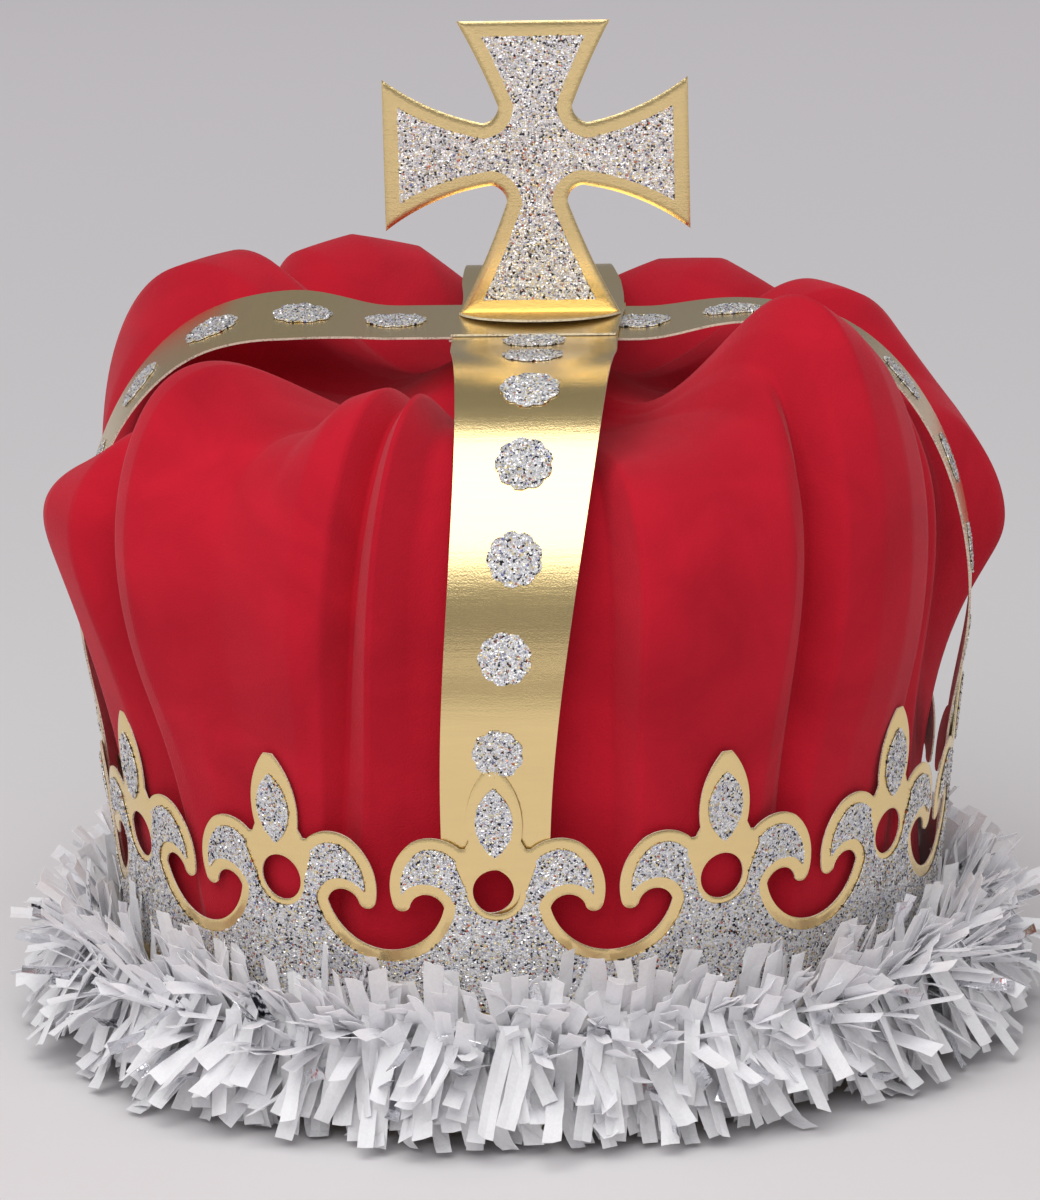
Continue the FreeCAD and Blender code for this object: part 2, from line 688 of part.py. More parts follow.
def garland():
    """Tissue and foil strips of a quarter of the garland, repeated round it."""
    chance = random.Random(11)
    fans = int(size("fan_count") / 4.0)
    tissue = []
    foil = []
    for fan in range(fans):
        for place, rise in enumerate((-26.0, 3.0, 29.0, 53.0, 77.0)):
            rise += chance.uniform(-6.0, 4.0)
            bend = chance.uniform(-14.0, 12.0) if place < 4 else chance.uniform(-5.0, 2.0)
            length = size("strip_length") * chance.uniform(0.84, 1.0)
            shiny = (5 * fan + place) % 11 == 3
            width = size("foil_width") if shiny else size("strip_width")
            kind = foil if shiny else tissue
            # Every other strip stands between two fans
            step = fan + 0.5 * (place % 2)
            kind.append(strip(step * 90.0 / fans, rise, bend, length, width))
    quarters = (0.0, 90.0, 180.0, 270.0)
    return [Part.makeCompound([turned(one, quarter) for quarter in quarters for one in kind])
            for kind in (tissue, foil)]


tissue_shape, foil_shape = garland()
tissue_strips = add_shape("tissue_strips", tissue_shape)
foil_strips = add_shape("foil_strips", foil_shape)

NODES = [crown_band, band_glitter, cross_front, cross_back, cross_glitter, velvet_cap,
         garland_cord, tissue_strips, foil_strips] + straps + strap_dots

doc.recompute()
for item in doc.Objects:
    if "Invalid" in item.State or "Error" in item.State:
        raise RuntimeError("%s failed: %s" % (item.Name, item.State))
for node in NODES:
    if node.Shape.isNull() or not node.Shape.isValid() or not node.Shape.Solids:
        raise RuntimeError("%s has no valid solid" % node.Label)
for node in NODES:
    node.Shape.exportStep("parts/%s.step" % node.Label)
    print(node.Label, len(node.Shape.Solids), round(node.Shape.Volume, 1), node.Shape.BoundBox)
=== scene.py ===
import json
import math
import random

import bmesh
import bpy
import numpy as np
from mathutils import Matrix, Vector, geometry

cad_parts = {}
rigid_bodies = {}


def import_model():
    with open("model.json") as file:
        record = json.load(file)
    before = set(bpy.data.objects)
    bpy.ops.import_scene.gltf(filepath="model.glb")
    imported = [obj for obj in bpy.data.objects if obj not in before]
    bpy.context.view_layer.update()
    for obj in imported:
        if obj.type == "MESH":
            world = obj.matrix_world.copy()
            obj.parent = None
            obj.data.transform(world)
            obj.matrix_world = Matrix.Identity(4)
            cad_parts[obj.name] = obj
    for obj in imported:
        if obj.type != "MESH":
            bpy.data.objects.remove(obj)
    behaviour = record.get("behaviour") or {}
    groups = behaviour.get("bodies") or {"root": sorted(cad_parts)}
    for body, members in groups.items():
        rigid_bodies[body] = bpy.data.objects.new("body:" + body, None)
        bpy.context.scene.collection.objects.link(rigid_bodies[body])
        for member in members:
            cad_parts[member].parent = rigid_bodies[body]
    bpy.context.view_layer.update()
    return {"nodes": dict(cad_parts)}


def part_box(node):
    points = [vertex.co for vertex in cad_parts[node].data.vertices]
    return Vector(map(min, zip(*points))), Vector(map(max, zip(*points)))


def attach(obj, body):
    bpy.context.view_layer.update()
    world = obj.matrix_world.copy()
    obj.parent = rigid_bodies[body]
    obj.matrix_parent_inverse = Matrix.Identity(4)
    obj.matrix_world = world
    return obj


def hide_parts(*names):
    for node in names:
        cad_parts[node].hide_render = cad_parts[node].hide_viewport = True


bl_info = {
    "name": "Foil Card Crown",
    "version": (1, 0, 0),
    "blender": (4, 5, 0),
    "location": "View3D > Sidebar > Crown",
    "description": "Dresses a foil card crown: velvet cap, straps, cross, glitter and tissue garland",
    "category": "Add Mesh",
}

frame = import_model()
PHOTO_SIZE = (1040, 1200)
MM = 0.001


# Sizes and colours that a user would change


class CardSizes(bpy.types.PropertyGroup):
    """Sizes of the foil card pieces"""

    foot_radius: bpy.props.FloatProperty(
        name="Foot radius", description="Outer radius of the band at the table",
        default=0.0899, min=0.04, unit="LENGTH", precision=4)
    flare: bpy.props.FloatProperty(
        name="Flare", description="How much the band's radius grows with its height",
        default=0.1256, min=0.0, max=0.5)
    thickness: bpy.props.FloatProperty(
        name="Card thickness", description="Thickness of the band's card",
        default=0.0006, min=0.0002, unit="LENGTH", precision=4)
    scallop: bpy.props.FloatProperty(
        name="Scallop height", description="Lowest point of the cut-out between two fleurs",
        default=0.0412, min=0.01, unit="LENGTH", precision=4)
    fleur: bpy.props.FloatProperty(
        name="Fleur height", description="Rise of a fleur's tip above the scallop",
        default=0.0432, min=0.01, unit="LENGTH", precision=4)
    fleurs: bpy.props.IntProperty(
        name="Fleurs", description="Fleurs round the band", default=12, min=4)
    hole: bpy.props.FloatProperty(
        name="Hole", description="Diameter of the hole punched through each fleur",
        default=0.0104, min=0.002, unit="LENGTH", precision=4)
    hole_rise: bpy.props.FloatProperty(
        name="Hole rise", description="Middle of that hole above the scallop",
        default=0.0144, min=0.0, unit="LENGTH", precision=4)
    rolled_edge: bpy.props.FloatProperty(
        name="Rolled edge", description="How far the die pressed the foil back at a cut edge",
        default=0.00022, min=0.0, unit="LENGTH", precision=5)
    strap_thickness: bpy.props.FloatProperty(
        name="Strap thickness", description="Thickness of the card straps",
        default=0.0005, min=0.0002, unit="LENGTH", precision=4)


class Finishes(bpy.types.PropertyGroup):
    """Colours of the finishes"""

    gold: bpy.props.FloatVectorProperty(
        name="Gold foil", description="Colour of the gold foil", subtype="COLOR", size=3,
        default=(0.96, 0.74, 0.36), min=0.0, max=1.0)
    core: bpy.props.FloatVectorProperty(
        name="Card core", description="Colour of the card under the foil", subtype="COLOR",
        size=3, default=(0.80, 0.72, 0.56), min=0.0, max=1.0)
    velvet: bpy.props.FloatVectorProperty(
        name="Velvet", description="Colour of the cap's pile", subtype="COLOR", size=3,
        default=(0.50, 0.011, 0.026), min=0.0, max=1.0)
    tissue: bpy.props.FloatVectorProperty(
        name="Tissue", description="Colour of the tissue strips", subtype="COLOR", size=3,
        default=(0.97, 0.96, 0.99), min=0.0, max=1.0)
    silver: bpy.props.FloatVectorProperty(
        name="Silver foil", description="Colour of the foil strips", subtype="COLOR", size=3,
        default=(0.86, 0.87, 0.90), min=0.0, max=1.0)


class GarlandSizes(bpy.types.PropertyGroup):
    """Sizes of the garland round the foot"""

    strips: bpy.props.IntProperty(
        name="Tissue strips", description="Tissue strips round the garland",
        default=1850, min=100)
    foils: bpy.props.IntProperty(
        name="Foil strips", description="Foil strips round the garland", default=120, min=0)
    width: bpy.props.FloatProperty(
        name="Strip width", description="Width of a tissue strip",
        default=0.0042, min=0.001, unit="LENGTH", precision=4)
    length: bpy.props.FloatProperty(
        name="Strip length", description="Greatest length of a strip",
        default=0.026, min=0.005, unit="LENGTH", precision=4)


class StageLook(bpy.types.PropertyGroup):
    """Floor and light"""

    floor: bpy.props.FloatVectorProperty(
        name="Floor", description="Colour of the floor by the crown", subtype="COLOR", size=3,
        default=(0.75, 0.73, 0.735), min=0.0, max=1.0)
    # Painted light: the far floor is paler than the near one, standing in for light that the lamp
    # does not give there.
    distance: bpy.props.FloatVectorProperty(
        name="Far floor", description="Colour of the floor further off", subtype="COLOR",
        size=3, default=(0.93, 0.89, 0.92), min=0.0, max=1.0)
    softbox: bpy.props.FloatProperty(
        name="Softbox", description="Power of the large lamp overhead", default=26.0, min=0.0,
        unit="POWER")
    ambient: bpy.props.FloatProperty(
        name="Ambient", description="Strength of the light from all round", default=0.42,
        min=0.0)


def card():
    """Sizes of the card, as the panel has them."""
    return bpy.context.scene.crown_card


def finishes():
    """Colours, as the panel has them."""
    return bpy.context.scene.crown_finishes


# Shapes that are shared


def polar(azimuth, radius, height):
    """Point at an azimuth in radians, counted from the front towards +X."""
    return Vector((radius * math.sin(azimuth), -radius * math.cos(azimuth), height))


def band_radius(height):
    """Outer radius of the band at a height."""
    return card().foot_radius + card().flare * height


def ease(knots, x):
    """Value at x of a curve that eases from each (x, value) knot to the next."""
    if x <= knots[0][0]:
        return knots[0][1]
    for (x0, y0), (x1, y1) in zip(knots, knots[1:]):
        if x <= x1:
            share = (x - x0) / (x1 - x0)
            return y0 + (y1 - y0) * share * share * (3.0 - 2.0 * share)
    return knots[-1][1]


def arc(start, middle, end, spacing):
    """Points along the circle's arc through three flat points, without its last one."""
    ax, ay = start
    bx, by = middle
    cx, cy = end
    d = 2.0 * (ax * (by - cy) + bx * (cy - ay) + cx * (ay - by))
    ux = ((ax * ax + ay * ay) * (by - cy) + (bx * bx + by * by) * (cy - ay)
          + (cx * cx + cy * cy) * (ay - by)) / d
    uy = ((ax * ax + ay * ay) * (cx - bx) + (bx * bx + by * by) * (ax - cx)
          + (cx * cx + cy * cy) * (bx - ax)) / d
    radius = math.hypot(ax - ux, ay - uy)
    first = math.atan2(ay - uy, ax - ux)
    turn = 2.0 * math.pi
    to_middle = (math.atan2(by - uy, bx - ux) - first) % turn
    sweep = (math.atan2(cy - uy, cx - ux) - first) % turn
    if to_middle > sweep:
        sweep -= turn
    count = max(2, round(abs(sweep) * radius / spacing))
    return [(ux + radius * math.cos(first + sweep * n / count),
             uy + radius * math.sin(first + sweep * n / count)) for n in range(count)]


def straight(start, end, spacing):
    """Points along a straight run, without its last one."""
    a, b = np.array(start), np.array(end)
    count = max(1, round(float(np.linalg.norm(b - a)) / spacing))
    return [tuple(a + (b - a) * n / count) for n in range(count)]


def ring(radius, count):
    """Points round a flat circle about the origin."""
    angles = [2.0 * math.pi * n / count for n in range(count)]
    return [(radius * math.cos(angle), radius * math.sin(angle)) for angle in angles]


def rectangle(low, high, across, upward):
    """Points round a flat rectangle between two corners, with a spacing each way."""
    corners = [low, (high[0], low[1]), high, (low[0], high[1])]
    run = []
    for start, end, spacing in zip(corners, corners[1:] + corners[:1], (across, upward) * 2):
        run += straight(start, end, spacing)
    return run


def inside(points, loop):
    """Which flat points lie inside a closed loop."""
    x, y = points[:, 0], points[:, 1]
    found = np.zeros(len(points), bool)
    for (x0, y0), (x1, y1) in zip(loop, np.roll(loop, -1, axis=0)):
        if y0 != y1:
            found ^= ((y0 > y) != (y1 > y)) & (x < (x1 - x0) * (y - y0) / (y1 - y0) + x0)
    return found


def edge_distance(points, segments):
    """Distance of each flat point from the nearest of the segments."""
    best = np.full(len(points), 1.0)
    for a, b in segments:
        along = b - a
        share = np.clip(((points - a) @ along) / max(float(along @ along), 1e-18), 0.0, 1.0)
        best = np.minimum(best, np.linalg.norm(points - a - share[:, None] * along, axis=1))
    return best


class Plate:
    """Flat card shape cut into triangles, finer along its cut edges."""

    RINGS = (0.00035, 0.0008, 0.0015)

    def __init__(self, loops, spacing, seams=()):
        """The first loop is the outline and the rest are holes. Seams are columns x where
        the plate joins the next one, and so has no cut edge."""
        self.seams = seams
        loops = [np.array(loop) for loop in loops]
        constraints = []
        segments = []
        first = 0
        for loop in loops:
            count = len(loop)
            for n in range(count):
                constraints.append((first + n, first + (n + 1) % count))
                a, b = loop[n], loop[(n + 1) % count]
                if not self.on_seam(a, b):
                    segments.append((a, b))
            first += count
        fixed = np.concatenate(loops)
        extra = []
        for loop in loops:
            ahead = np.roll(loop, -1, axis=0) - np.roll(loop, 1, axis=0)
            normal = np.stack([-ahead[:, 1], ahead[:, 0]], axis=1)
            normal /= np.linalg.norm(normal, axis=1)[:, None]
            for reach in self.RINGS:
                for side in (reach, -reach):
                    ring = loop + side * normal
                    extra.append(ring[edge_distance(ring, segments) > 0.9 * reach])
        low, high = fixed.min(axis=0), fixed.max(axis=0)
        across, up = np.meshgrid(np.arange(low[0] + spacing / 2.0, high[0], spacing),
                                 np.arange(low[1] + spacing / 2.0, high[1], spacing))
        grid = np.stack([across.ravel(), up.ravel()], axis=1)
        clear = self.RINGS[-1] + spacing / 3.0
        extra.append(grid[edge_distance(grid, segments) > clear])
        extra = np.concatenate(extra)
        keep = inside(extra, loops[0])
        for hole in loops[1:]:
            keep &= ~inside(extra, hole)
        for column in seams:
            keep &= np.abs(extra[:, 0] - column) > spacing / 4.0
        points = np.concatenate([fixed, extra[keep]])
        made = geometry.delaunay_2d_cdt([Vector(p) for p in points], constraints, [], 0, 1e-8)
        self.points = np.array([tuple(p) for p in made[0]])
        faces = np.array([face for face in made[2] if len(face) == 3])
        middles = self.points[faces].mean(axis=1)
        keep = inside(middles, loops[0])
        for hole in loops[1:]:
            keep &= ~inside(middles, hole)
        self.faces = faces[keep]
        a, b, c = (self.points[self.faces[:, n]] for n in range(3))
        turned = ((b - a)[:, 0] * (c - a)[:, 1] - (b - a)[:, 1] * (c - a)[:, 0]) < 0
        self.faces[turned] = self.faces[turned][:, ::-1]
        self.depth = edge_distance(self.points, segments)
        edges = {}
        for face in self.faces.tolist():
            for n in range(3):
                edges[(face[n], face[(n + 1) % 3])] = True
        self.rim = [edge for edge in edges if edge[::-1] not in edges
                    and not self.on_seam(self.points[edge[0]], self.points[edge[1]])]

    def on_seam(self, a, b):
        """Whether an edge lies on a seam."""
        return any(abs(a[0] - column) < 1e-7 and abs(b[0] - column) < 1e-7
                   for column in self.seams)


FOIL, BACKING, CORE = range(3)


def add_plate(bm, plate, place, thickness, roll=0.0, backing=BACKING):
    """Adds a card plate to a mesh. place(x, y, depth) puts a flat point in space."""
    uv = bm.loops.layers.uv.verify()
    rolled = roll * np.clip(1.0 - plate.depth / 0.0011, 0.0, 1.0) ** 2
    front = [bm.verts.new(place(x, y, thickness - back))
             for (x, y), back in zip(plate.points.tolist(), rolled.tolist())]
    back = [bm.verts.new(place(x, y, 0.0)) for x, y in plate.points.tolist()]

    def add(verts, flat, material, smooth):
        face = bm.faces.new(verts)
        face.material_index = material
        face.smooth = smooth
        for loop, n in zip(face.loops, flat):
            loop[uv].uv = plate.points[n] * 10.0
        return face

    for a, b, c in plate.faces.tolist():
        add((front[a], front[b], front[c]), (a, b, c), FOIL, True)
        add((back[c], back[b], back[a]), (c, b, a), backing, True)
    for a, b in plate.rim:
        add((front[b], front[a], back[a], back[b]), (b, a, a, b), CORE, False)


def finish_mesh(bm, name, materials, weld=0.0):
    """Turns a bmesh into a piece that rides on the crown."""
    if weld:
        bmesh.ops.remove_doubles(bm, verts=bm.verts, dist=weld)
    for edge in bm.edges:
        if len(edge.link_faces) == 2:
            one, other = edge.link_faces
            edge.smooth = one.material_index == other.material_index
    mesh = bpy.data.meshes.new(name)
    bm.to_mesh(mesh)
    bm.free()
    for material in materials:
        mesh.materials.append(material)
    return add_piece(name, mesh)


def add_piece(name, mesh):
    """Puts a mesh in the scene, fixed to the crown's one body."""
    piece = bpy.data.objects.new(name, mesh)
    bpy.context.scene.collection.objects.link(piece)
    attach(piece, "root")
    return piece


# Shader building


def new_material(name):
    """Empty node material with its Principled BSDF."""
    material = bpy.data.materials.new(name)
    material.use_nodes = True
    tree = material.node_tree
    shader = tree.nodes["Principled BSDF"]
    return material, tree, shader


def node(tree, kind, inputs=None, **settings):
    """Adds a node, sets its properties, and links or sets its inputs."""
    made = tree.nodes.new(kind)
    for name, value in settings.items():
        setattr(made, name, value)
    for name, value in (inputs or {}).items():
        socket = made.inputs[name]
        if isinstance(value, bpy.types.NodeSocket):
            tree.links.new(value, socket)
        else:
            socket.default_value = value
    return made


def ramp(tree, source, stops, interpolation="LINEAR"):
    """Colour ramp over a value. Each stop is (place, colour)."""
    made = node(tree, "ShaderNodeValToRGB", {"Fac": source})
    made.color_ramp.interpolation = interpolation
    elements = made.color_ramp.elements
    while len(elements) > 1:
        elements.remove(elements[-1])
    elements[0].position = stops[0][0]
    elements[0].color = (*stops[0][1], 1.0)
    for place, colour in stops[1:]:
        elements.new(place).color = (*colour, 1.0)
    return made.outputs["Color"]


def mix_colour(tree, factor, one, other, blend="MIX"):
    """Mixes two colours, each a value or a socket."""
    made = node(tree, "ShaderNodeMix", data_type="RGBA", blend_type=blend)
    for index, value in ((0, factor), (6, one), (7, other)):
        if isinstance(value, bpy.types.NodeSocket):
            tree.links.new(value, made.inputs[index])
        elif index == 0:
            made.inputs[index].default_value = value
        else:
            made.inputs[index].default_value = (*value, 1.0)
    return made.outputs[2]


def maths(tree, operation, one, other=0.0):
    """Result of a sum on two numbers, each a value or a socket."""
    made = node(tree, "ShaderNodeMath", operation=operation)
    for index, value in enumerate((one, other)):
        if isinstance(value, bpy.types.NodeSocket):
            tree.links.new(value, made.inputs[index])
        else:
            made.inputs[index].default_value = value
    return made.outputs[0]


def group(name, inputs, outputs):
    """Node group with named float, vector or colour sockets."""
    tree = bpy.data.node_groups.new(name, "ShaderNodeTree")
    kinds = {"f": "NodeSocketFloat", "v": "NodeSocketVector", "c": "NodeSocketColor"}
    for label, kind, value in inputs:
        socket = tree.interface.new_socket(label, in_out="INPUT", socket_type=kinds[kind])
        if value is not None:
            socket.default_value = value
    for label, kind in outputs:
        tree.interface.new_socket(label, in_out="OUTPUT", socket_type=kinds[kind])
    start = tree.nodes.new("NodeGroupInput")
    end = tree.nodes.new("NodeGroupOutput")
    return tree, start.outputs, end.inputs


def use_group(tree, name, inputs):
    """Places a node group, and gives its outputs."""
    made = tree.nodes.new("ShaderNodeGroup")
    made.node_tree = bpy.data.node_groups[name]
    for label, value in inputs.items():
        if isinstance(value, bpy.types.NodeSocket):
            tree.links.new(value, made.inputs[label])
        else:
            made.inputs[label].default_value = value
    return made.outputs


def make_grain_group():
    """Fine and coarse unevenness, as paper, foil and cloth all have it."""
    tree, given, result = group(
        "Grain", [("Vector", "v", None), ("Scale", "f", 400.0), ("Coarse", "f", 0.5)],
        [("Mask", "f"), ("Fine", "f")])
    fine = node(tree, "ShaderNodeTexNoise",
                {"Vector": given["Vector"], "Scale": given["Scale"], "Detail": 4.0})
    wide = node(tree, "ShaderNodeTexNoise",
                {"Vector": given["Vector"], "Scale": maths(tree, "MULTIPLY", given["Scale"], 0.06),
                 "Detail": 2.0})
    both = node(tree, "ShaderNodeMix", {"Factor": given["Coarse"]}, data_type="FLOAT")
    tree.links.new(fine.outputs["Fac"], both.inputs[2])
    tree.links.new(wide.outputs["Fac"], both.inputs[3])
    tree.links.new(both.outputs[0], result["Mask"])
    tree.links.new(fine.outputs["Fac"], result["Fine"])


def make_flake_group():
    """Cells of loose glitter, each with a shade and a tilt of its own."""
    tree, given, result = group(
        "Flake cells", [("Vector", "v", None), ("Scale", "f", 2100.0)],
        [("Shade", "f"), ("Rim", "f"), ("Tilt", "c")])
    cells = node(tree, "ShaderNodeTexVoronoi",
                 {"Vector": given["Vector"], "Scale": given["Scale"]}, feature="F1")
    edge = node(tree, "ShaderNodeTexVoronoi",
                {"Vector": given["Vector"], "Scale": given["Scale"]},
                feature="DISTANCE_TO_EDGE")
    split = node(tree, "ShaderNodeSeparateColor", {"Color": cells.outputs["Color"]})
    tree.links.new(split.outputs[0], result["Shade"])
    tree.links.new(edge.outputs["Distance"], result["Rim"])
    tree.links.new(cells.outputs["Color"], result["Tilt"])


def gold_foil():
    """Bright laminated foil with the faint streaks that rolling leaves across it."""
    material, tree, shader = new_material("gold_foil")
    place = node(tree, "ShaderNodeUVMap")
    streaks = node(tree, "ShaderNodeMapping", {"Vector": place.outputs["UV"]})
    streaks.inputs["Scale"].default_value = (6.0, 90.0, 1.0)
    streak = node(tree, "ShaderNodeTexNoise",
                  {"Vector": streaks.outputs["Vector"], "Scale": 1.0, "Detail": 3.0})
    spot = node(tree, "ShaderNodeTexCoord")
    grain = use_group(tree, "Grain", {"Vector": spot.outputs["Object"], "Scale": 2600.0,
                                      "Coarse": 0.35})
    tone = maths(tree, "ADD", maths(tree, "MULTIPLY", streak.outputs["Fac"], 0.10), 0.95)
    gold = finishes().gold
    base = mix_colour(tree, grain["Mask"], [0.93 * value for value in gold], gold)
    base = mix_colour(tree, 1.0, base, tone, "MULTIPLY")
    tree.links.new(base, shader.inputs["Base Color"])
    rough = node(tree, "ShaderNodeMapRange", {"Value": grain["Mask"], "To Min": 0.17,
                                              "To Max": 0.27})
    tree.links.new(rough.outputs["Result"], shader.inputs["Roughness"])
    shader.inputs["Metallic"].default_value = 1.0
    height = maths(tree, "ADD", maths(tree, "MULTIPLY", streak.outputs["Fac"], 0.8),
                   grain["Fine"])
    bump = node(tree, "ShaderNodeBump", {"Height": height, "Strength": 0.09,
                                         "Distance": 0.0004})
    tree.links.new(bump.outputs["Normal"], shader.inputs["Normal"])
    return material


def card_stock(name, tint, speckle):
    """Uncoated card, as a cut edge or as the back of the foil."""
    material, tree, shader = new_material(name)
    spot = node(tree, "ShaderNodeTexCoord")
    grain = use_group(tree, "Grain", {"Vector": spot.outputs["Object"], "Scale": 3200.0,
                                      "Coarse": 0.3})
    worn = ramp(tree, grain["Mask"], [(0.36, [speckle * value for value in tint]),
                                      (0.52, tint)])
    tree.links.new(worn, shader.inputs["Base Color"])
    shader.inputs["Roughness"].default_value = 0.8
    bump = node(tree, "ShaderNodeBump", {"Height": grain["Fine"], "Strength": 0.25,
                                         "Distance": 0.0002})
    tree.links.new(bump.outputs["Normal"], shader.inputs["Normal"])
    return material


# Flake colours with painted glints: gold, red and blue are flake colours, while black, the greys and
# white stand in for silver flakes tilted to mirror dark and bright surroundings.
GLITTER_COLOURS_AND_GLINTS = (
    (0.0, (0.02, 0.02, 0.03)), (0.11, (0.55, 0.55, 0.60)), (0.25, (0.82, 0.82, 0.86)),
    (0.50, (0.97, 0.96, 0.96)), (0.88, (0.86, 0.72, 0.40)), (0.96, (0.62, 0.20, 0.12)),
    (0.98, (0.20, 0.22, 0.50)),
)


def glitter_crust():
    """Bed of loose flakes in glue, under the flakes that stand up from it."""
    material, tree, shader = new_material("glitter_crust")
    spot = node(tree, "ShaderNodeTexCoord")
    cells = use_group(tree, "Flake cells", {"Vector": spot.outputs["Object"],
                                            "Scale": 2100.0})
    # Flake colours, with painted glints among them.
    shade = ramp(tree, cells["Shade"], GLITTER_COLOURS_AND_GLINTS, "CONSTANT")
    tree.links.new(shade, shader.inputs["Base Color"])
    shader.inputs["Metallic"].default_value = 0.45
    shader.inputs["Roughness"].default_value = 0.32
    split = node(tree, "ShaderNodeSeparateColor", {"Color": cells["Tilt"]})
    height = maths(tree, "ADD", maths(tree, "MULTIPLY", cells["Rim"], 1.4),
                   split.outputs[1])
    bump = node(tree, "ShaderNodeBump", {"Height": height, "Strength": 0.9,
                                         "Distance": 0.0003})
    tree.links.new(bump.outputs["Normal"], shader.inputs["Normal"])
    return material


def glitter_flake():
    """Single flakes, each of the shade that its own attribute picks."""
    material, tree, shader = new_material("glitter_flake")
    chosen = node(tree, "ShaderNodeAttribute", attribute_name="flake")
    # Flake colours, with painted glints among them.
    shade = ramp(tree, chosen.outputs["Fac"], GLITTER_COLOURS_AND_GLINTS, "CONSTANT")
    spot = node(tree, "ShaderNodeTexCoord")
    grain = use_group(tree, "Grain", {"Vector": spot.outputs["Object"], "Scale": 5000.0,
                                      "Coarse": 0.5})
    shade = mix_colour(tree, maths(tree, "MULTIPLY", grain["Mask"], 0.3), shade,
                       (0.95, 0.94, 0.92))
    tree.links.new(shade, shader.inputs["Base Color"])
    shader.inputs["Metallic"].default_value = 0.5
    shader.inputs["Roughness"].default_value = 0.3
    return material


def velvet():
    """Deep red pile, lighter and darker in random patches of nap, with a soft pink bloom at a
    glancing angle.
    """
    material, tree, shader = new_material("velvet_pile")
    spot = node(tree, "ShaderNodeTexCoord")
    pile = use_group(tree, "Grain", {"Vector": spot.outputs["Object"], "Scale": 2400.0,
                                     "Coarse": 0.25})
    nap = node(tree, "ShaderNodeTexNoise", {"Vector": spot.outputs["Object"],
                                            "Scale": 38.0, "Detail": 4.0,
                                            "Distortion": 0.6})
    deep = finishes().velvet
    shade = ramp(tree, nap.outputs["Fac"], [(0.30, [0.82 * v for v in deep]),
                                            (0.70, [1.12 * v for v in deep])])
    lift = mix_colour(tree, maths(tree, "MULTIPLY", pile["Fine"], 0.16), shade,
                      (0.50, 0.02, 0.035))
    tree.links.new(lift, shader.inputs["Base Color"])
    shader.inputs["Roughness"].default_value = 0.85
    shader.inputs["Specular IOR Level"].default_value = 0.05
    shader.inputs["Sheen Weight"].default_value = 0.35
    shader.inputs["Sheen Roughness"].default_value = 0.42
    shader.inputs["Sheen Tint"].default_value = (1.0, 0.30, 0.34, 1.0)
    height = maths(tree, "ADD", maths(tree, "MULTIPLY", nap.outputs["Fac"], 2.0),
                   pile["Fine"])
    bump = node(tree, "ShaderNodeBump", {"Height": height, "Strength": 0.35,
                                         "Distance": 0.0006})
    tree.links.new(bump.outputs["Normal"], shader.inputs["Normal"])
    return material


def tissue_paper():
    """Thin crumpled tissue that lets a little light through."""
    material, tree, shader = new_material("tissue_paper")
    spot = node(tree, "ShaderNodeTexCoord")
    grain = use_group(tree, "Grain", {"Vector": spot.outputs["Object"], "Scale": 1300.0,
                                      "Coarse": 0.6})
    white = finishes().tissue
    shade = ramp(tree, grain["Mask"], [(0.35, [0.90 * v for v in white]), (0.6, white)])
    tree.links.new(shade, shader.inputs["Base Color"])
    shader.inputs["Roughness"].default_value = 0.62
    shader.inputs["Subsurface Weight"].default_value = 0.35
    shader.inputs["Subsurface Radius"].default_value = (0.0016, 0.0015, 0.0018)
    shader.inputs["Subsurface Scale"].default_value = 1.0
    bump = node(tree, "ShaderNodeBump", {"Height": grain["Mask"], "Strength": 0.35,
                                         "Distance": 0.0006})
    tree.links.new(bump.outputs["Normal"], shader.inputs["Normal"])
    return material


def silver_foil():
    """Metallised film, crinkled, with painted dark and red glints."""
    material, tree, shader = new_material("crinkled_film")
    spot = node(tree, "ShaderNodeTexCoord")
    grain = use_group(tree, "Grain", {"Vector": spot.outputs["Object"], "Scale": 900.0,
                                      "Coarse": 0.6})
    silver = finishes().silver
    # Painted reflection: the dark and the red patches of the film's colour are glints that stand in
    # for what the crinkles mirror.
    shade = ramp(tree, grain["Mask"], [(0.38, (0.03, 0.03, 0.04)), (0.44, silver),
                                       (0.62, silver), (0.68, (0.55, 0.06, 0.05))])
    tree.links.new(shade, shader.inputs["Base Color"])
    shader.inputs["Metallic"].default_value = 1.0
    shader.inputs["Roughness"].default_value = 0.16
    bump = node(tree, "ShaderNodeBump", {"Height": grain["Mask"], "Strength": 0.5,
                                         "Distance": 0.0008})
    tree.links.new(bump.outputs["Normal"], shader.inputs["Normal"])
    return material


def twisted_cord():
    """Two-ply white string."""
    material, tree, shader = new_material("twisted_cord")
    spot = node(tree, "ShaderNodeTexCoord")
    grain = use_group(tree, "Grain", {"Vector": spot.outputs["Object"], "Scale": 900.0,
                                      "Coarse": 0.4})
    shade = ramp(tree, grain["Mask"], [(0.35, (0.62, 0.62, 0.66)), (0.6, (0.86, 0.86, 0.88))])
    tree.links.new(shade, shader.inputs["Base Color"])
    shader.inputs["Roughness"].default_value = 0.85
    bump = node(tree, "ShaderNodeBump", {"Height": grain["Mask"], "Strength": 0.6,
                                         "Distance": 0.0008})
    tree.links.new(bump.outputs["Normal"], shader.inputs["Normal"])
    return material


MAKERS = {
    "gold_foil": gold_foil,
    "card_edge": lambda: card_stock("card_edge", finishes().core, 0.35),
    "card_back": lambda: card_stock("card_back", (0.82, 0.80, 0.76), 0.85),
    "glitter_crust": glitter_crust,
    "glitter_flake": glitter_flake,
    "velvet_pile": velvet,
    "tissue_paper": tissue_paper,
    "crinkled_film": silver_foil,
    "twisted_cord": twisted_cord,
}


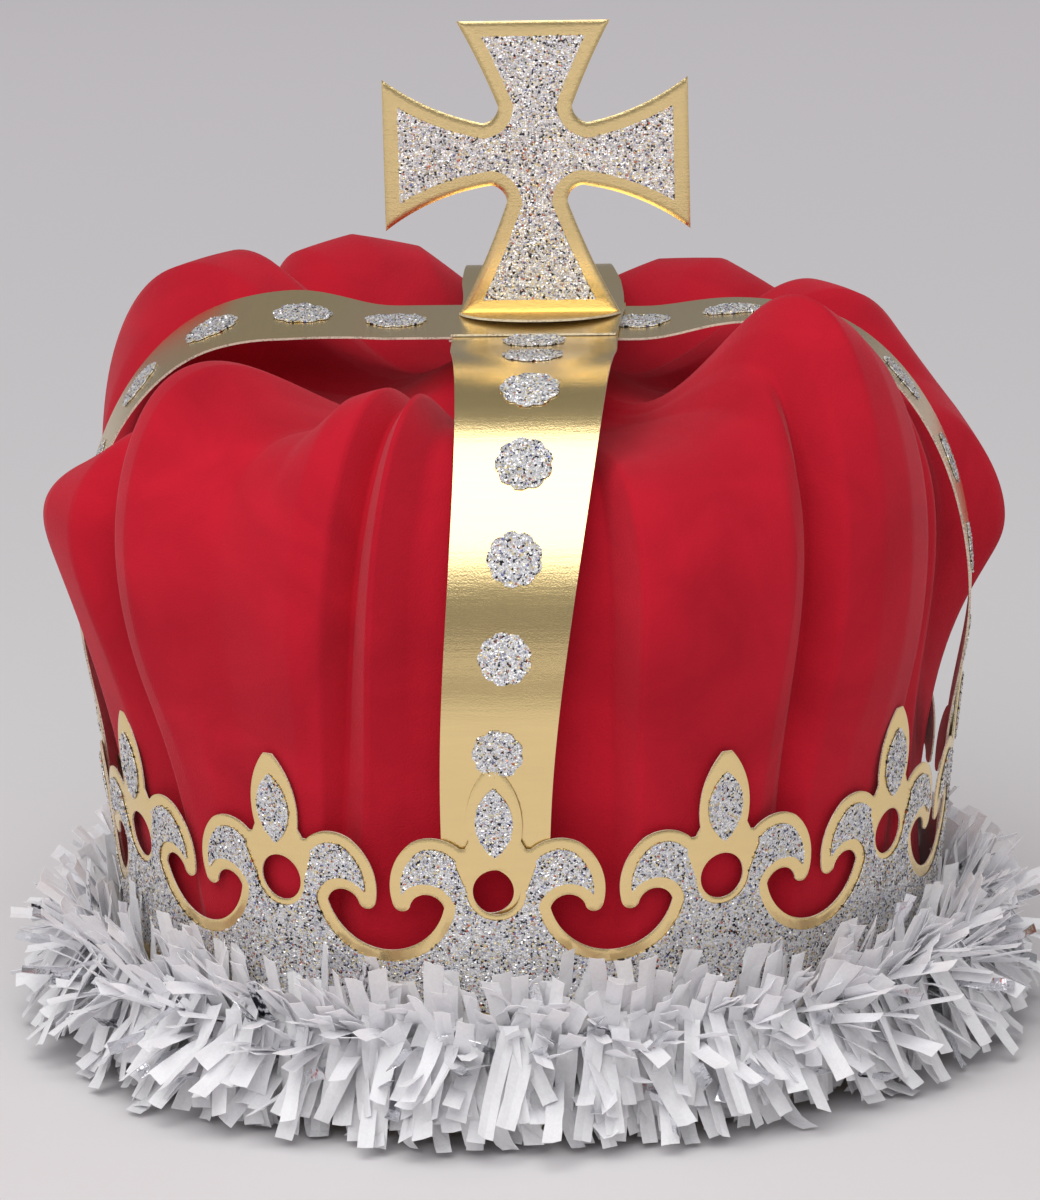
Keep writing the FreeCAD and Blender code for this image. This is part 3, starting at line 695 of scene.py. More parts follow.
def material(name):
    """The named finish, made the first time it is asked for."""
    if "Grain" not in bpy.data.node_groups:
        make_grain_group()
        make_flake_group()
    return bpy.data.materials.get(name) or MAKERS[name]()


def card_materials():
    """Finishes of a card piece, in the order of its face marks."""
    return [material("gold_foil"), material("card_back"), material("card_edge")]


def dress_node(name, finish):
    """Gives a CAD node its material."""
    mesh = frame["nodes"][name].data
    mesh.materials.clear()
    mesh.materials.append(material(finish))


# Geometry Nodes building


def geometry_tree(name, inputs):
    """Empty Geometry Nodes tree with named inputs."""
    tree = bpy.data.node_groups.new(name, "GeometryNodeTree")
    tree.interface.new_socket("Geometry", in_out="INPUT", socket_type="NodeSocketGeometry")
    for label, kind, value in inputs:
        socket = tree.interface.new_socket(label, in_out="INPUT",
                                           socket_type="NodeSocket" + kind)
        if value is not None:
            socket.default_value = value
    tree.interface.new_socket("Geometry", in_out="OUTPUT", socket_type="NodeSocketGeometry")
    start = tree.nodes.new("NodeGroupInput")
    end = tree.nodes.new("NodeGroupOutput")
    return tree, start.outputs, end.inputs


def random_value(tree, low, high, seed, kind="FLOAT"):
    """Random value node, with its seed set apart from the tree's own seed."""
    made = node(tree, "FunctionNodeRandomValue", data_type=kind)
    first = {"FLOAT_VECTOR": 0, "FLOAT": 2, "INT": 4}[kind]
    for index, value in ((first, low), (first + 1, high)):
        if isinstance(value, bpy.types.NodeSocket):
            tree.links.new(value, made.inputs[index])
        else:
            made.inputs[index].default_value = value
    tree.links.new(seed, made.inputs["Seed"])
    return made.outputs[{"FLOAT_VECTOR": 0, "FLOAT": 1, "INT": 2}[kind]]


def offset_seed(tree, seed, step):
    """Seed that is a whole step from the tree's own."""
    return maths(tree, "ADD", seed, step)


def finish_tree(tree, instances, chosen_material, result):
    """Ends a tree in plain mesh with its material."""
    real = node(tree, "GeometryNodeRealizeInstances", {"Geometry": instances})
    dressed = node(tree, "GeometryNodeSetMaterial",
                   {"Geometry": real.outputs[0], "Material": chosen_material})
    tree.links.new(dressed.outputs[0], result["Geometry"])


def flake_tree():
    """Loose flakes strewn over a surface, tilted at random."""
    tree, given, result = geometry_tree("Strewn flakes", [
        ("Density", "Float", 3.0e6), ("Flake size", "Float", 0.0003), ("Tilt", "Float", 0.7),
        ("Lift", "Float", 0.0001), ("Seed", "Int", 1), ("Material", "Material", None)])
    strewn = node(tree, "GeometryNodeDistributePointsOnFaces",
                  {"Mesh": given["Geometry"], "Density": given["Density"],
                   "Seed": given["Seed"]}, distribute_method="RANDOM")
    normal = strewn.outputs["Normal"]
    lift = node(tree, "ShaderNodeVectorMath", {0: normal}, operation="SCALE")
    tree.links.new(random_value(tree, 0.0, given["Lift"], offset_seed(tree, given["Seed"], 5)),
                   lift.inputs["Scale"])
    raised = node(tree, "GeometryNodeSetPosition",
                  {"Geometry": strewn.outputs["Points"], "Offset": lift.outputs[0]})
    tilt = node(tree, "ShaderNodeCombineXYZ")
    low = maths(tree, "MULTIPLY", given["Tilt"], -1.0)
    for index, step in ((0, 1), (1, 2)):
        value = random_value(tree, low, given["Tilt"], offset_seed(tree, given["Seed"], step))
        tree.links.new(value, tilt.inputs[index])
    tree.links.new(random_value(tree, 0.0, 6.28, offset_seed(tree, given["Seed"], 3)),
                   tilt.inputs[2])
    spin = node(tree, "FunctionNodeEulerToRotation", {"Euler": tilt.outputs[0]})
    turned = node(tree, "FunctionNodeRotateRotation",
                  {"Rotation": strewn.outputs["Rotation"],
                   "Rotate By": spin.outputs[0]}, rotation_space="LOCAL")
    flake = node(tree, "GeometryNodeMeshCircle", {"Vertices": 5, "Radius": given["Flake size"]},
                 fill_type="NGON")
    scale = random_value(tree, (0.55, 0.55, 1.0), (1.1, 1.1, 1.0),
                         offset_seed(tree, given["Seed"], 4), "FLOAT_VECTOR")
    placed = node(tree, "GeometryNodeInstanceOnPoints",
                  {"Points": raised.outputs[0], "Instance": flake.outputs[0],
                   "Rotation": turned.outputs[0], "Scale": scale})
    stored = node(tree, "GeometryNodeStoreNamedAttribute",
                  {"Geometry": placed.outputs[0], "Name": "flake"},
                  data_type="FLOAT", domain="INSTANCE")
    shade = random_value(tree, 0.0, 1.0, offset_seed(tree, given["Seed"], 6))
    tree.links.new(shade, stored.inputs["Value"])
    finish_tree(tree, stored.outputs[0], given["Material"], result)
    return tree


def fringe_tree():
    """Strips that fan out from a ring, each turned at random."""
    tree, given, result = geometry_tree("Fringe round a ring", [
        ("Radius", "Float", 0.09), ("Height", "Float", 0.017), ("Strips", "Int", 400),
        ("Lowest", "Float", -0.7), ("Highest", "Float", 1.5), ("Jitter", "Float", 0.0015),
        ("Shapes", "Collection", None), ("Seed", "Int", 1), ("Material", "Material", None)])
    ring = node(tree, "GeometryNodeMeshCircle",
                {"Vertices": given["Strips"], "Radius": given["Radius"]}, fill_type="NONE")
    shift = node(tree, "ShaderNodeVectorMath", operation="ADD")
    spread = node(tree, "ShaderNodeVectorMath", operation="SCALE")
    unit = random_value(tree, (-1.0, -1.0, -1.0), (1.0, 1.0, 1.0),
                        offset_seed(tree, given["Seed"], 1), "FLOAT_VECTOR")
    tree.links.new(unit, spread.inputs[0])
    tree.links.new(given["Jitter"], spread.inputs["Scale"])
    up = node(tree, "ShaderNodeCombineXYZ", {"Z": given["Height"]})
    tree.links.new(spread.outputs[0], shift.inputs[0])
    tree.links.new(up.outputs[0], shift.inputs[1])
    points = node(tree, "GeometryNodeSetPosition",
                  {"Geometry": ring.outputs[0], "Offset": shift.outputs[0]})
    where = node(tree, "GeometryNodeInputPosition")
    split = node(tree, "ShaderNodeSeparateXYZ", {"Vector": where.outputs[0]})
    azimuth = maths(tree, "ARCTAN2", split.outputs["Y"], split.outputs["X"])
    rise = random_value(tree, given["Lowest"], given["Highest"],
                        offset_seed(tree, given["Seed"], 2))
    roll = random_value(tree, -0.5, 0.5, offset_seed(tree, given["Seed"], 3))
    sway = random_value(tree, -0.30, 0.30, offset_seed(tree, given["Seed"], 4))
    fan = node(tree, "ShaderNodeCombineXYZ",
               {"X": roll, "Y": 0.0, "Z": sway})
    lift = node(tree, "ShaderNodeCombineXYZ",
                {"Y": maths(tree, "MULTIPLY", rise, -1.0), "Z": azimuth})
    outward = node(tree, "FunctionNodeEulerToRotation", {"Euler": lift.outputs[0]})
    leaning = node(tree, "FunctionNodeEulerToRotation", {"Euler": fan.outputs[0]})
    turned = node(tree, "FunctionNodeRotateRotation",
                  {"Rotation": outward.outputs[0], "Rotate By": leaning.outputs[0]},
                  rotation_space="LOCAL")
    shapes = node(tree, "GeometryNodeCollectionInfo",
                  {"Collection": given["Shapes"], "Separate Children": True,
                   "Reset Children": True})
    chosen = random_value(tree, 0, 1000, offset_seed(tree, given["Seed"], 5), "INT")
    scale = random_value(tree, (0.72, 0.85, 1.0), (1.0, 1.2, 1.0),
                         offset_seed(tree, given["Seed"], 6), "FLOAT_VECTOR")
    placed = node(tree, "GeometryNodeInstanceOnPoints",
                  {"Points": points.outputs[0], "Instance": shapes.outputs[0],
                   "Pick Instance": True, "Instance Index": chosen,
                   "Rotation": turned.outputs[0], "Scale": scale})
    finish_tree(tree, placed.outputs[0], given["Material"], result)
    return tree


def grown_mesh(name, tree, base, **values):
    """Mesh that a tree grows on a base mesh."""
    holder = bpy.data.objects.new(name + "_seed", base)
    bpy.context.scene.collection.objects.link(holder)
    modifier = holder.modifiers.new("grow", "NODES")
    modifier.node_group = tree
    for item in tree.interface.items_tree:
        if item.in_out == "INPUT" and item.name in values:
            modifier[item.identifier] = values[item.name]
    graph = bpy.context.evaluated_depsgraph_get()
    mesh = bpy.data.meshes.new_from_object(holder.evaluated_get(graph))
    mesh.name = name
    bpy.data.objects.remove(holder)
    return mesh


def grown(name, tree, base, **values):
    """Mesh piece that a tree grows on a base mesh."""
    return add_piece(name, grown_mesh(name, tree, base, **values))


# Band


def fleur_side():
    """Right-hand cut edge of a fleur, from its tip down to the scallop's lowest point.

    Points are azimuth times the middle radius, and height. They repeat the card's own
    die: shares of half a pitch from the cut-out's middle, and of the fleur's height.
    """
    sizes = card()
    middle = band_radius(sizes.scallop + sizes.fleur / 2.0)
    half = math.pi / sizes.fleurs

    def flat(across, up):
        return (-middle * math.sin(across * half), sizes.scallop + up * sizes.fleur)

    corners = [flat(0.984, 1.0), flat(0.825, 0.85), flat(0.784, 0.607), flat(0.742, 0.562),
               flat(0.701, 0.560), flat(0.517, 0.615), flat(0.277, 0.588),
               flat(0.112, 0.466), flat(0.080, 0.254), flat(0.167, 0.216),
               flat(0.226, 0.238), flat(0.400, 0.312), flat(0.532, 0.245)]
    fine = 0.0006
    run = arc(corners[0], corners[1], corners[2], fine)
    run += straight(corners[2], corners[3], fine)
    run += straight(corners[3], corners[4], fine)
    for n in (4, 6, 8, 10):
        run += arc(corners[n], corners[n + 1], corners[n + 2], fine)
    bottom = flat(0.0, 0.0)
    mirrored = (-corners[12][0], corners[12][1])
    scallop = arc(corners[12], bottom, mirrored, fine)
    run += scallop[:len(scallop) // 2 + 1]
    placed = []
    for x, height in run:
        azimuth = half + math.asin(x / band_radius(height))
        placed.append((min(azimuth, half) * middle, height))
    placed[-1] = (half * middle, placed[-1][1])
    return placed, middle, half


def band_plate():
    """Flat shape of one fleur's share of the band, and its middle radius."""
    sizes = card()
    side, middle, half = fleur_side()
    edge = half * middle
    outline = [(-x, z) for x, z in side[::-1]]
    outline += side
    right = straight(side[-1], (edge, 0.0), 0.003)[1:]
    foot = straight((edge, 0.0), (-edge, 0.0), 0.002)
    left = [(-x, z) for x, z in right[::-1]]
    outline = outline + right + foot + [(-edge, 0.0)] + left
    hole = []
    for x, y in ring(sizes.hole / 2.0, 48):
        height = sizes.scallop + sizes.hole_rise + y
        hole.append((math.asin(x / band_radius(height)) * middle, height))
    return Plate([outline, hole], 0.0028, seams=(-edge, edge)), middle


# Glue tab that closes the band: its width, its azimuth, and its top below the scallop
LAP = {"width": 0.016, "azimuth": 195.0, "below": 0.003}


class CROWN_OT_band(bpy.types.Operator):
    """Make the flared card band with its die-cut fleurs"""

    bl_idname = "crown.band"
    bl_label = "Card band"

    def execute(self, context):
        sizes = card()
        plate, middle = band_plate()
        bm = bmesh.new()
        for n in range(sizes.fleurs):
            turn = 2.0 * math.pi * n / sizes.fleurs

            def place(x, height, depth, turn=turn):
                radius = band_radius(height) - sizes.thickness + depth
                return polar(turn + x / middle, radius, height)

            add_plate(bm, plate, place, sizes.thickness, sizes.rolled_edge)
        half_tab = LAP["width"] / 2.0
        rear = math.radians(LAP["azimuth"])
        outline = rectangle((-half_tab, 0.0), (half_tab, sizes.scallop - LAP["below"]),
                            0.002, 0.003)

        def place_tab(x, height, depth):
            radius = band_radius(height) - 2.0 * sizes.thickness + depth
            return polar(rear + x / middle, radius, height)

        add_plate(bm, Plate([outline], 0.004), place_tab, sizes.thickness * 0.98)
        piece = finish_mesh(bm, "card_band", card_materials(), weld=1e-6)
        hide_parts("crown_band")
        return {"FINISHED"}


# Straps


def smooth_curve(points, count):
    """Points along the smooth curve through given points, with even chord spacing."""
    points = np.array(points)
    t = np.concatenate([[0.0], np.cumsum(np.linalg.norm(np.diff(points, axis=0), axis=1))])
    n = len(points)
    h = np.diff(t)
    matrix = np.zeros((n, n))
    side = np.zeros((n, points.shape[1]))
    matrix[0, 0] = matrix[-1, -1] = 1.0
    for i in range(1, n - 1):
        matrix[i, i - 1:i + 2] = h[i - 1], 2.0 * (h[i - 1] + h[i]), h[i]
        side[i] = 6.0 * ((points[i + 1] - points[i]) / h[i]
                         - (points[i] - points[i - 1]) / h[i - 1])
    bend = np.linalg.solve(matrix, side)
    samples = np.linspace(0.0, t[-1], count)
    k = np.clip(np.searchsorted(t, samples, side="right") - 1, 0, n - 2)
    a = ((t[k + 1] - samples) / h[k])[:, None]
    b = 1.0 - a
    step = (h[k] ** 2)[:, None] / 6.0
    return a * points[k] + b * points[k + 1] + ((a ** 3 - a) * bend[k]
                                                 + (b ** 3 - b) * bend[k + 1]) * step


# Sizes that all four straps share, in mm
STRAP = {
    "foot_width": 22.3, "top_width": 37.0, "taper": 185.0, "foot": 20.0, "gap": 0.2,
    "reach": 101.7, "reach_height": 102.0, "top": 163.3, "shoulder": 44.0,
    "lap_clearance": 0.15, "hole_offset": -1.5,
}


def strap_radius(height):
    """Radius in mm of the inner face of a strap that lies flat inside the band."""
    sizes = card()
    foot = sizes.foot_radius / MM
    bow = STRAP["foot_width"] ** 2 / (8.0 * foot)
    layers = (sizes.thickness + sizes.strap_thickness) / MM + STRAP["gap"]
    return foot + sizes.flare * height - layers - bow


class Strap:
    """Where one strap runs, and how it sags, leans and twists. Works in mm."""

    def __init__(self, azimuth, level, lap, lean, twist):
        step = card().strap_thickness / MM + STRAP["lap_clearance"]
        self.azimuth = math.radians(azimuth)
        self.lean = lean
        self.twist = twist
        top = STRAP["top"]
        flat = STRAP["reach"] - STRAP["shoulder"]
        drop = top - STRAP["reach_height"]
        hole_height = (card().scallop + card().hole_rise) / MM
        level_top = top - step * level
        points = [(share * flat, level_top) for share in
                  (-0.4, -0.3, -0.2, -0.1, 0.0, 0.1, 0.2, 0.3, 0.4, 0.45, 0.5)]
        points.append((0.8 * flat, top + 0.5))
        for degrees in (6, 20, 35, 50, 65, 80, 95):
            angle = math.radians(degrees)
            points.append((flat + STRAP["shoulder"] * math.sin(angle),
                           STRAP["reach_height"] + drop * math.cos(angle)))
        for height in (hole_height + 15.0, hole_height, STRAP["foot"]):
            points.append((strap_radius(height), height))
        self.line = smooth_curve(points, 4000)
        steps = np.linalg.norm(np.diff(self.line, axis=0), axis=1)
        self.runs = np.concatenate([[0.0], np.cumsum(steps)])
        self.length = float(self.runs[-1])
        self.middle = 0.4 * flat
        self.start = self.middle - lap
        self.hole_run = float(np.interp(-hole_height, -self.line[2000:, 1],
                                        self.runs[2000:]))

    def half_width(self, run):
        """Half the strap's width at a run from its lapped end."""
        taper = max((self.length - run) / STRAP["taper"], 0.0) ** 1.75
        width = STRAP["foot_width"] + (STRAP["top_width"] - STRAP["foot_width"]) * taper
        return min(width, STRAP["top_width"]) / 2.0

    def place(self, across, run, depth):
        """Point in metres, from mm across the strap, along it and out of its inner face."""
        run = min(max(run, 0.0), self.length)
        out, up = (float(np.interp(run, self.runs, self.line[:, n])) for n in (0, 1))
        reach = 0.2
        ahead = min(run + reach, self.length)
        behind = ahead - 2.0 * reach
        slope = [float(np.interp(ahead, self.runs, self.line[:, n])
                       - np.interp(behind, self.runs, self.line[:, n])) for n in (0, 1)]
        turn = Matrix.Rotation(self.azimuth - math.pi / 2.0, 3, "Z")
        along = (turn @ Vector((slope[0], 0.0, slope[1]))).normalized()
        side = turn @ Vector((0.0, 1.0, 0.0))
        outward = along.cross(side)
        climbed = (self.length - run) / (self.length - self.middle)
        base = turn @ Vector((out, 0.0, up)) + side * ease(self.lean, climbed)
        roll = Matrix.Rotation(math.radians(ease(self.twist, climbed)), 3, along)
        return (base + roll @ side * across + roll @ outward * depth) * MM

    def plate(self):
        """Flat shape of the strap, with its punched hole."""
        count = 110
        runs = [self.start + (self.length - self.start) * n / count for n in range(count + 1)]
        right = [(self.half_width(run) * MM, run * MM) for run in runs]
        left = [(-x, y) for x, y in right[::-1]]
        top = straight(left[-1], right[0], 0.002)[1:]
        foot = straight(right[-1], left[0], 0.002)[1:]
        radius = card().hole / 2.0
        hole = [(x + STRAP["hole_offset"] * MM, y + self.hole_run * MM)
                for x, y in ring(radius, 40)]
        return Plate([right + foot + left + top, hole], 0.0022)


STRAIGHT = ((0.0, 0.0), (1.0, 0.0))
STRAPS = {
    "right": (90, 3.0, 14.0, STRAIGHT, ((0.4, 0.0), (0.74, -3.0), (0.86, 0.0))),
    "left": (270, 2.0, 14.0, STRAIGHT, ((0.15, 0.0), (0.5, -7.0), (0.76, -7.0), (0.86, 0.0))),
    "front": (0, 1.0, 16.0, ((0.18, 0.0), (0.66, 8.0), (0.98, 5.2)), STRAIGHT),
    "back": (180, 0.0, 22.0, ((0.66, 0.0), (0.98, -5.2)), STRAIGHT),
}


class CROWN_OT_straps(bpy.types.Operator):
    """Make the four tapering card straps that lap under the cross"""

    bl_idname = "crown.straps"
    bl_label = "Card straps"

    def execute(self, context):
        for name, facts in STRAPS.items():
            strap = Strap(*facts)
            bm = bmesh.new()

            def place(x, y, depth, strap=strap):
                return strap.place(x / MM, y / MM, depth / MM)

            add_plate(bm, strap.plate(), place, card().strap_thickness)
            piece = finish_mesh(bm, name + "_card_strap", card_materials())
            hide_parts(name + "_strap")
        return {"FINISHED"}


# Cross


CROSS = {
    "x": 5.2, "foot": 163.95, "span": 69.0, "height": 67.0, "rise": 36.7, "arm": 34.6,
    "foot_width": 36.8, "waist": 16.6, "tab": 15.0, "lift": 4.0,
}


def cross_outline():
    """Outline of the cross in its own plane, in metres, from the foot's left corner."""
    c = CROSS
    middle = (c["x"], c["foot"] + c["rise"])
    span = c["span"] / 2.0
    arm = c["arm"] / 2.0
    waist = c["waist"] / 2.0
    neck = 0.44 * arm
    top = c["height"] - c["rise"]
    spacing = 0.0008

    def quarter(side, up, end_width, end_height, narrow):
        """Run from the upright arm's end corner round to the side arm's end corner."""
        def point(across, height):
            return ((middle[0] + side * across) * MM, (middle[1] + up * height) * MM)

        end = point(end_width, end_height)
        low = point(narrow, 1.42 * neck)
        turn = point(narrow + 0.18 * neck, 1.06 * neck)
        notch = point(narrow + 0.45 * neck, 0.93 * neck)
        flank = point((narrow + end_width) * 0.48, 0.36 * neck + 0.58 * end_height)
        wing = point(0.64 * span, 0.59 * arm)
        last = point(span, arm)
        return (arc(end, flank, low, spacing) + arc(low, turn, notch, spacing)
                + arc(notch, wing, last, spacing) + [last])

    upper = [quarter(side, 1.0, arm, top, waist) for side in (1.0, -1.0)]
    lower = [quarter(side, -1.0, c["foot_width"] / 2.0, c["rise"], 0.82 * waist)
             for side in (1.0, -1.0)]
    right, left = upper
    low_right, low_left = lower
    outline = right + straight(right[-1], low_right[-1], spacing)[1:]
    outline += low_right[::-1] + straight(low_right[0], low_left[0], spacing)[1:]
    outline += low_left + straight(low_left[-1], left[-1], spacing)[1:]
    outline += left[::-1] + straight(left[0], right[0], spacing)[1:]
    return outline


class CROWN_OT_cross(bpy.types.Operator):
    """Make the two layers of the cross, each with its foot folded out"""

    bl_idname = "crown.cross"
    bl_label = "Cross"

    def execute(self, context):
        thickness = card().strap_thickness
        outline = cross_outline()
        plate = Plate([outline], 0.0022)
        half = CROSS["foot_width"] / 2.0
        x = CROSS["x"]
        rim = arc(((x - half) * MM, 0.0), (x * MM, CROSS["tab"] * MM),
                  ((x + half) * MM, 0.0), 0.0008)
        fold = rim + straight(((x + half) * MM, 0.0), rim[0], 0.0012)
        tab = Plate([fold], 0.0022)
        lift = math.radians(CROSS["lift"])
        for name, side in (("front", -1.0), ("back", 1.0)):
            bm = bmesh.new()

            def place(px, pz, depth, side=side):
                return Vector((px, side * depth, pz))

            def place_tab(px, out, depth, side=side):
                foot = CROSS["foot"] * MM
                return Vector((px, side * out * math.cos(lift),
                               foot + out * math.sin(lift) + depth))

            add_plate(bm, plate, place, thickness, 0.0002)
            add_plate(bm, tab, place_tab, thickness)
            bmesh.ops.recalc_face_normals(bm, faces=bm.faces)
            piece = finish_mesh(bm, "cross_card_" + name, card_materials())
            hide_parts("cross_" + name)
        return {"FINISHED"}


# Glitter


def outward_skin(name, facing):
    """Mesh of a glitter node's faces that face the way that a rule says."""
    source = frame["nodes"][name].data
    bm = bmesh.new()
    bm.from_mesh(source)
    bmesh.ops.remove_doubles(bm, verts=bm.verts, dist=1e-6)
    bm.normal_update()
    hidden = [face for face in bm.faces
              if facing(face.calc_center_median()).dot(face.normal) < 0.3]
    bmesh.ops.delete(bm, geom=hidden, context="FACES")
    mesh = bpy.data.meshes.new(name + "_skin")
    bm.to_mesh(mesh)
    bm.free()
    return mesh


def away_from_axis(point):
    """Way out from the crown's axis."""
    return Vector((point.x, point.y, 0.0)).normalized()


def away_from_head(point):
    """Way out from the middle of the head space."""
    return (point - Vector((0.0, 0.0, 0.06))).normalized()


def to_the_front(_point):
    """Way to the front, wherever the point is."""
    return Vector((0.0, -1.0, 0.0))


class CROWN_OT_glitter(bpy.types.Operator):
    """Lay the glitter crust, and strew loose flakes over it"""

    bl_idname = "crown.glitter"
    bl_label = "Glitter"

    def execute(self, context):
        tree = flake_tree()
        crusts = [("band_glitter", away_from_axis, 2.6e6)]
        crusts += [(name + "_dots", away_from_head, 3.4e6) for name in STRAPS]
        crusts.append(("cross_glitter", to_the_front, 3.4e6))
        for seed, (name, facing, density) in enumerate(crusts):
            dress_node(name, "glitter_crust")
            flakes = grown(name + "_flakes", tree, outward_skin(name, facing),
                           Density=density, Seed=17 + seed * 11,
                           Material=material("glitter_flake"))
        return {"FINISHED"}


# Cap


# Folds round the cap: azimuth, how far the wall stands proud there, and the crest's height
FOLDS = (
    (0, -9, 150), (7, -9, 149), (12, -8, 148), (16, -7, 145), (18.5, 6, 147), (24, 6, 147),
    (32, 5, 149), (40, 5, 154), (43, 1, 160), (45.5, -5, 163), (48, 5, 170), (53, 7, 178),
    (58, 7, 173), (64, 4, 167), (69, -4, 160), (73, -1, 156), (80, -8, 149), (85, -9, 147),
    (90, -9, 146), (97, -9, 146), (102, -3, 142), (107, 15, 139), (113, 15, 144), (121, 8, 161),
    (129, 4, 162), (135, -5, 152), (141, 4, 158), (150, 6, 163), (160, 3, 162), (167, -4, 158),
    (173, -9, 148), (180, -10, 147), (187, -9, 148), (194, -4, 158), (201, 2, 166), (212, 6, 170),
    (222, 4, 168), (228, -5, 161), (235, 7, 171), (246, 12, 170), (254, 4, 158), (260, -7, 148),
    (266, -9, 145), (273, -9, 143), (279, -8, 140), (285, 0, 139), (291, 12, 141), (299, 11, 149),
    (304, 0, 156), (307, 8, 164), (311, 10, 164), (317, 7, 157), (325, 4, 150), (332, 5, 153),
    (338, 6, 161), (342.5, 4, 163), (345.5, -5, 157), (348, 3, 162), (351.5, -6, 153),
)

# Azimuth, how far a crease there leans round by the hem, in degrees, and how many mm the
# puff beside it droops
LEANS = (
    (0, 0, 0), (18.5, 0, 0), (45.5, -7, 0), (64, -2, 0), (90, 0, 0), (97, 0, 0),
    (105, 0, 13), (118, 0, 13), (129, 0, 4), (141, 0, 0), (273, 0, 0), (283, 0, -7),
    (293, 4, -7), (304, 8, 0), (325, 0, 0), (345.5, -11, 0), (355, -3, 0), (360, 0, 0),
)


# Sizes of the gathered cap, in mm
CAP = {
    "cloth": 1.2, "hem": 22.0, "hem_gap": 0.4, "wall": 118.0, "bulge": 101.0, "crest": 80.0,
    "sink": 44.0, "sink_height": 141.0, "button": 13.0, "button_height": 154.0,
}
# Faces over the cap: columns for each fold, and rows on the outer and the inner skin
FOLD_COLUMNS = 7
OUTER_ROWS = 100
INNER_ROWS = 36


def cap_net(inset):
    """Control net of the cap, in mm: one row a level from the hem to the middle."""
    hem, wall, bulge, top = (CAP[name] for name in ("hem", "wall", "bulge", "crest"))
    tip = (card().scallop + card().fleur) / MM
    folds = np.array(FOLDS, float)
    proud, crest = folds[:, 1], folds[:, 2]
    given = np.array(LEANS, float)
    lean, droop = (np.interp(folds[:, 0], given[:, 0], given[:, n]) for n in (1, 2))

    def row(radius, height, leant=0.0):
        height = np.broadcast_to(height, radius.shape)
        azimuth = np.radians(folds[:, 0] + leant * lean)
        return np.stack([radius * np.sin(azimuth), -radius * np.cos(azimuth), height], axis=1)

    rows = []
    for height, share, leant in ((hem, 0.0, 1.0), (hem + 0.35 * (tip - hem), 0.25, 0.85),
                                 (tip - 8.0, 0.55, 0.6)):
        radius = strap_radius(height) - CAP["hem_gap"]
        rows.append(row(radius + share * np.minimum(proud - 6.0, 0.0) - inset, height, leant))
    # Radius, share of the fold, height between wall and crest, share of lean and of droop
    for radius, share, rise, leant, drooped in (
            (bulge - 2.0, 0.8, -0.45, 0.42, 0.8), (bulge, 1.0, 0.0, 0.3, 1.0),
            (bulge - 1.0, 1.0, 0.40, 0.2, 0.8), (bulge - 7.0, 0.9, 0.78, 0.1, 0.3),
            (top + 6.0, 0.6, 1.0, 0.0, 0.0), (top - 8.0, 0.3, 1.02, 0.0, 0.0)):
        over = max(rise, 0.0) ** 2
        height = wall + (crest - wall) * rise - drooped * droop
        rows.append(row(radius + share * proud - inset * (1.0 - over),
                        height - inset * over, leant))
    sink, low_sink = CAP["sink"], CAP["sink_height"]
    button, low_button = CAP["button"], CAP["button_height"]
    for radius, low, share in ((sink + 8.0, low_sink + 4.0, 0.5), (sink - 12.0, low_sink, 0.1),
                               (button + 6.0, low_button - 3.0, 0.0),
                               (button, low_button, 0.0)):
        rows.append(row(np.full(len(folds), radius),
                        low + (crest - low) * share * 0.6 - inset))
    return np.array(rows)


def clamped_weights(count, samples):
    """Weights of the control points of a clamped even cubic spline, one row a sample."""
    spans = count - 3
    knots = np.concatenate([np.zeros(3), np.arange(spans + 1.0), np.full(3, float(spans))])
    u = np.clip(samples, 0.0, spans - 1e-9)
    weights = [((knots[i] <= u) & (u < knots[i + 1])).astype(float)
               for i in range(len(knots) - 1)]
    for degree in (1, 2, 3):
        raised = []
        for i in range(len(weights) - 1):
            value = np.zeros_like(u)
            low = knots[i + degree] - knots[i]
            high = knots[i + degree + 1] - knots[i + 1]
            if low > 0.0:
                value += (u - knots[i]) / low * weights[i]
            if high > 0.0:
                value += (knots[i + degree + 1] - u) / high * weights[i + 1]
            raised.append(value)
        weights = raised
    return np.stack(weights, axis=1)


# How far the cap's folds are straight creases, against soft waves
CRISP = 0.85


def round_weights(count, samples):
    """Weights of the control points round the cap: part cubic spline, part straight."""
    weights = np.zeros((len(samples), count))
    whole = np.floor(samples).astype(int)
    t = samples - whole
    for step, value in ((-1, (1.0 - t) ** 3), (0, 3.0 * t ** 3 - 6.0 * t ** 2 + 4.0),
                        (1, -3.0 * t ** 3 + 3.0 * t ** 2 + 3.0 * t + 1.0), (2, t ** 3)):
        weights[np.arange(len(samples)), (whole + step) % count] += (1.0 - CRISP) * value / 6.0
    for step, value in ((0, 1.0 - t), (1, t)):
        weights[np.arange(len(samples)), (whole + step) % count] += CRISP * value
    return weights


def cap_surface(inset, columns, rows):
    """Grid of points over the cap, in mm, as [row][column]."""
    net = cap_net(inset)
    up = clamped_weights(len(net), np.linspace(0.0, len(net) - 3.0, rows))
    across = round_weights(len(FOLDS), np.arange(columns) * len(FOLDS) / columns)
    return np.einsum("ri,cj,ijk->rck", up, across, net)


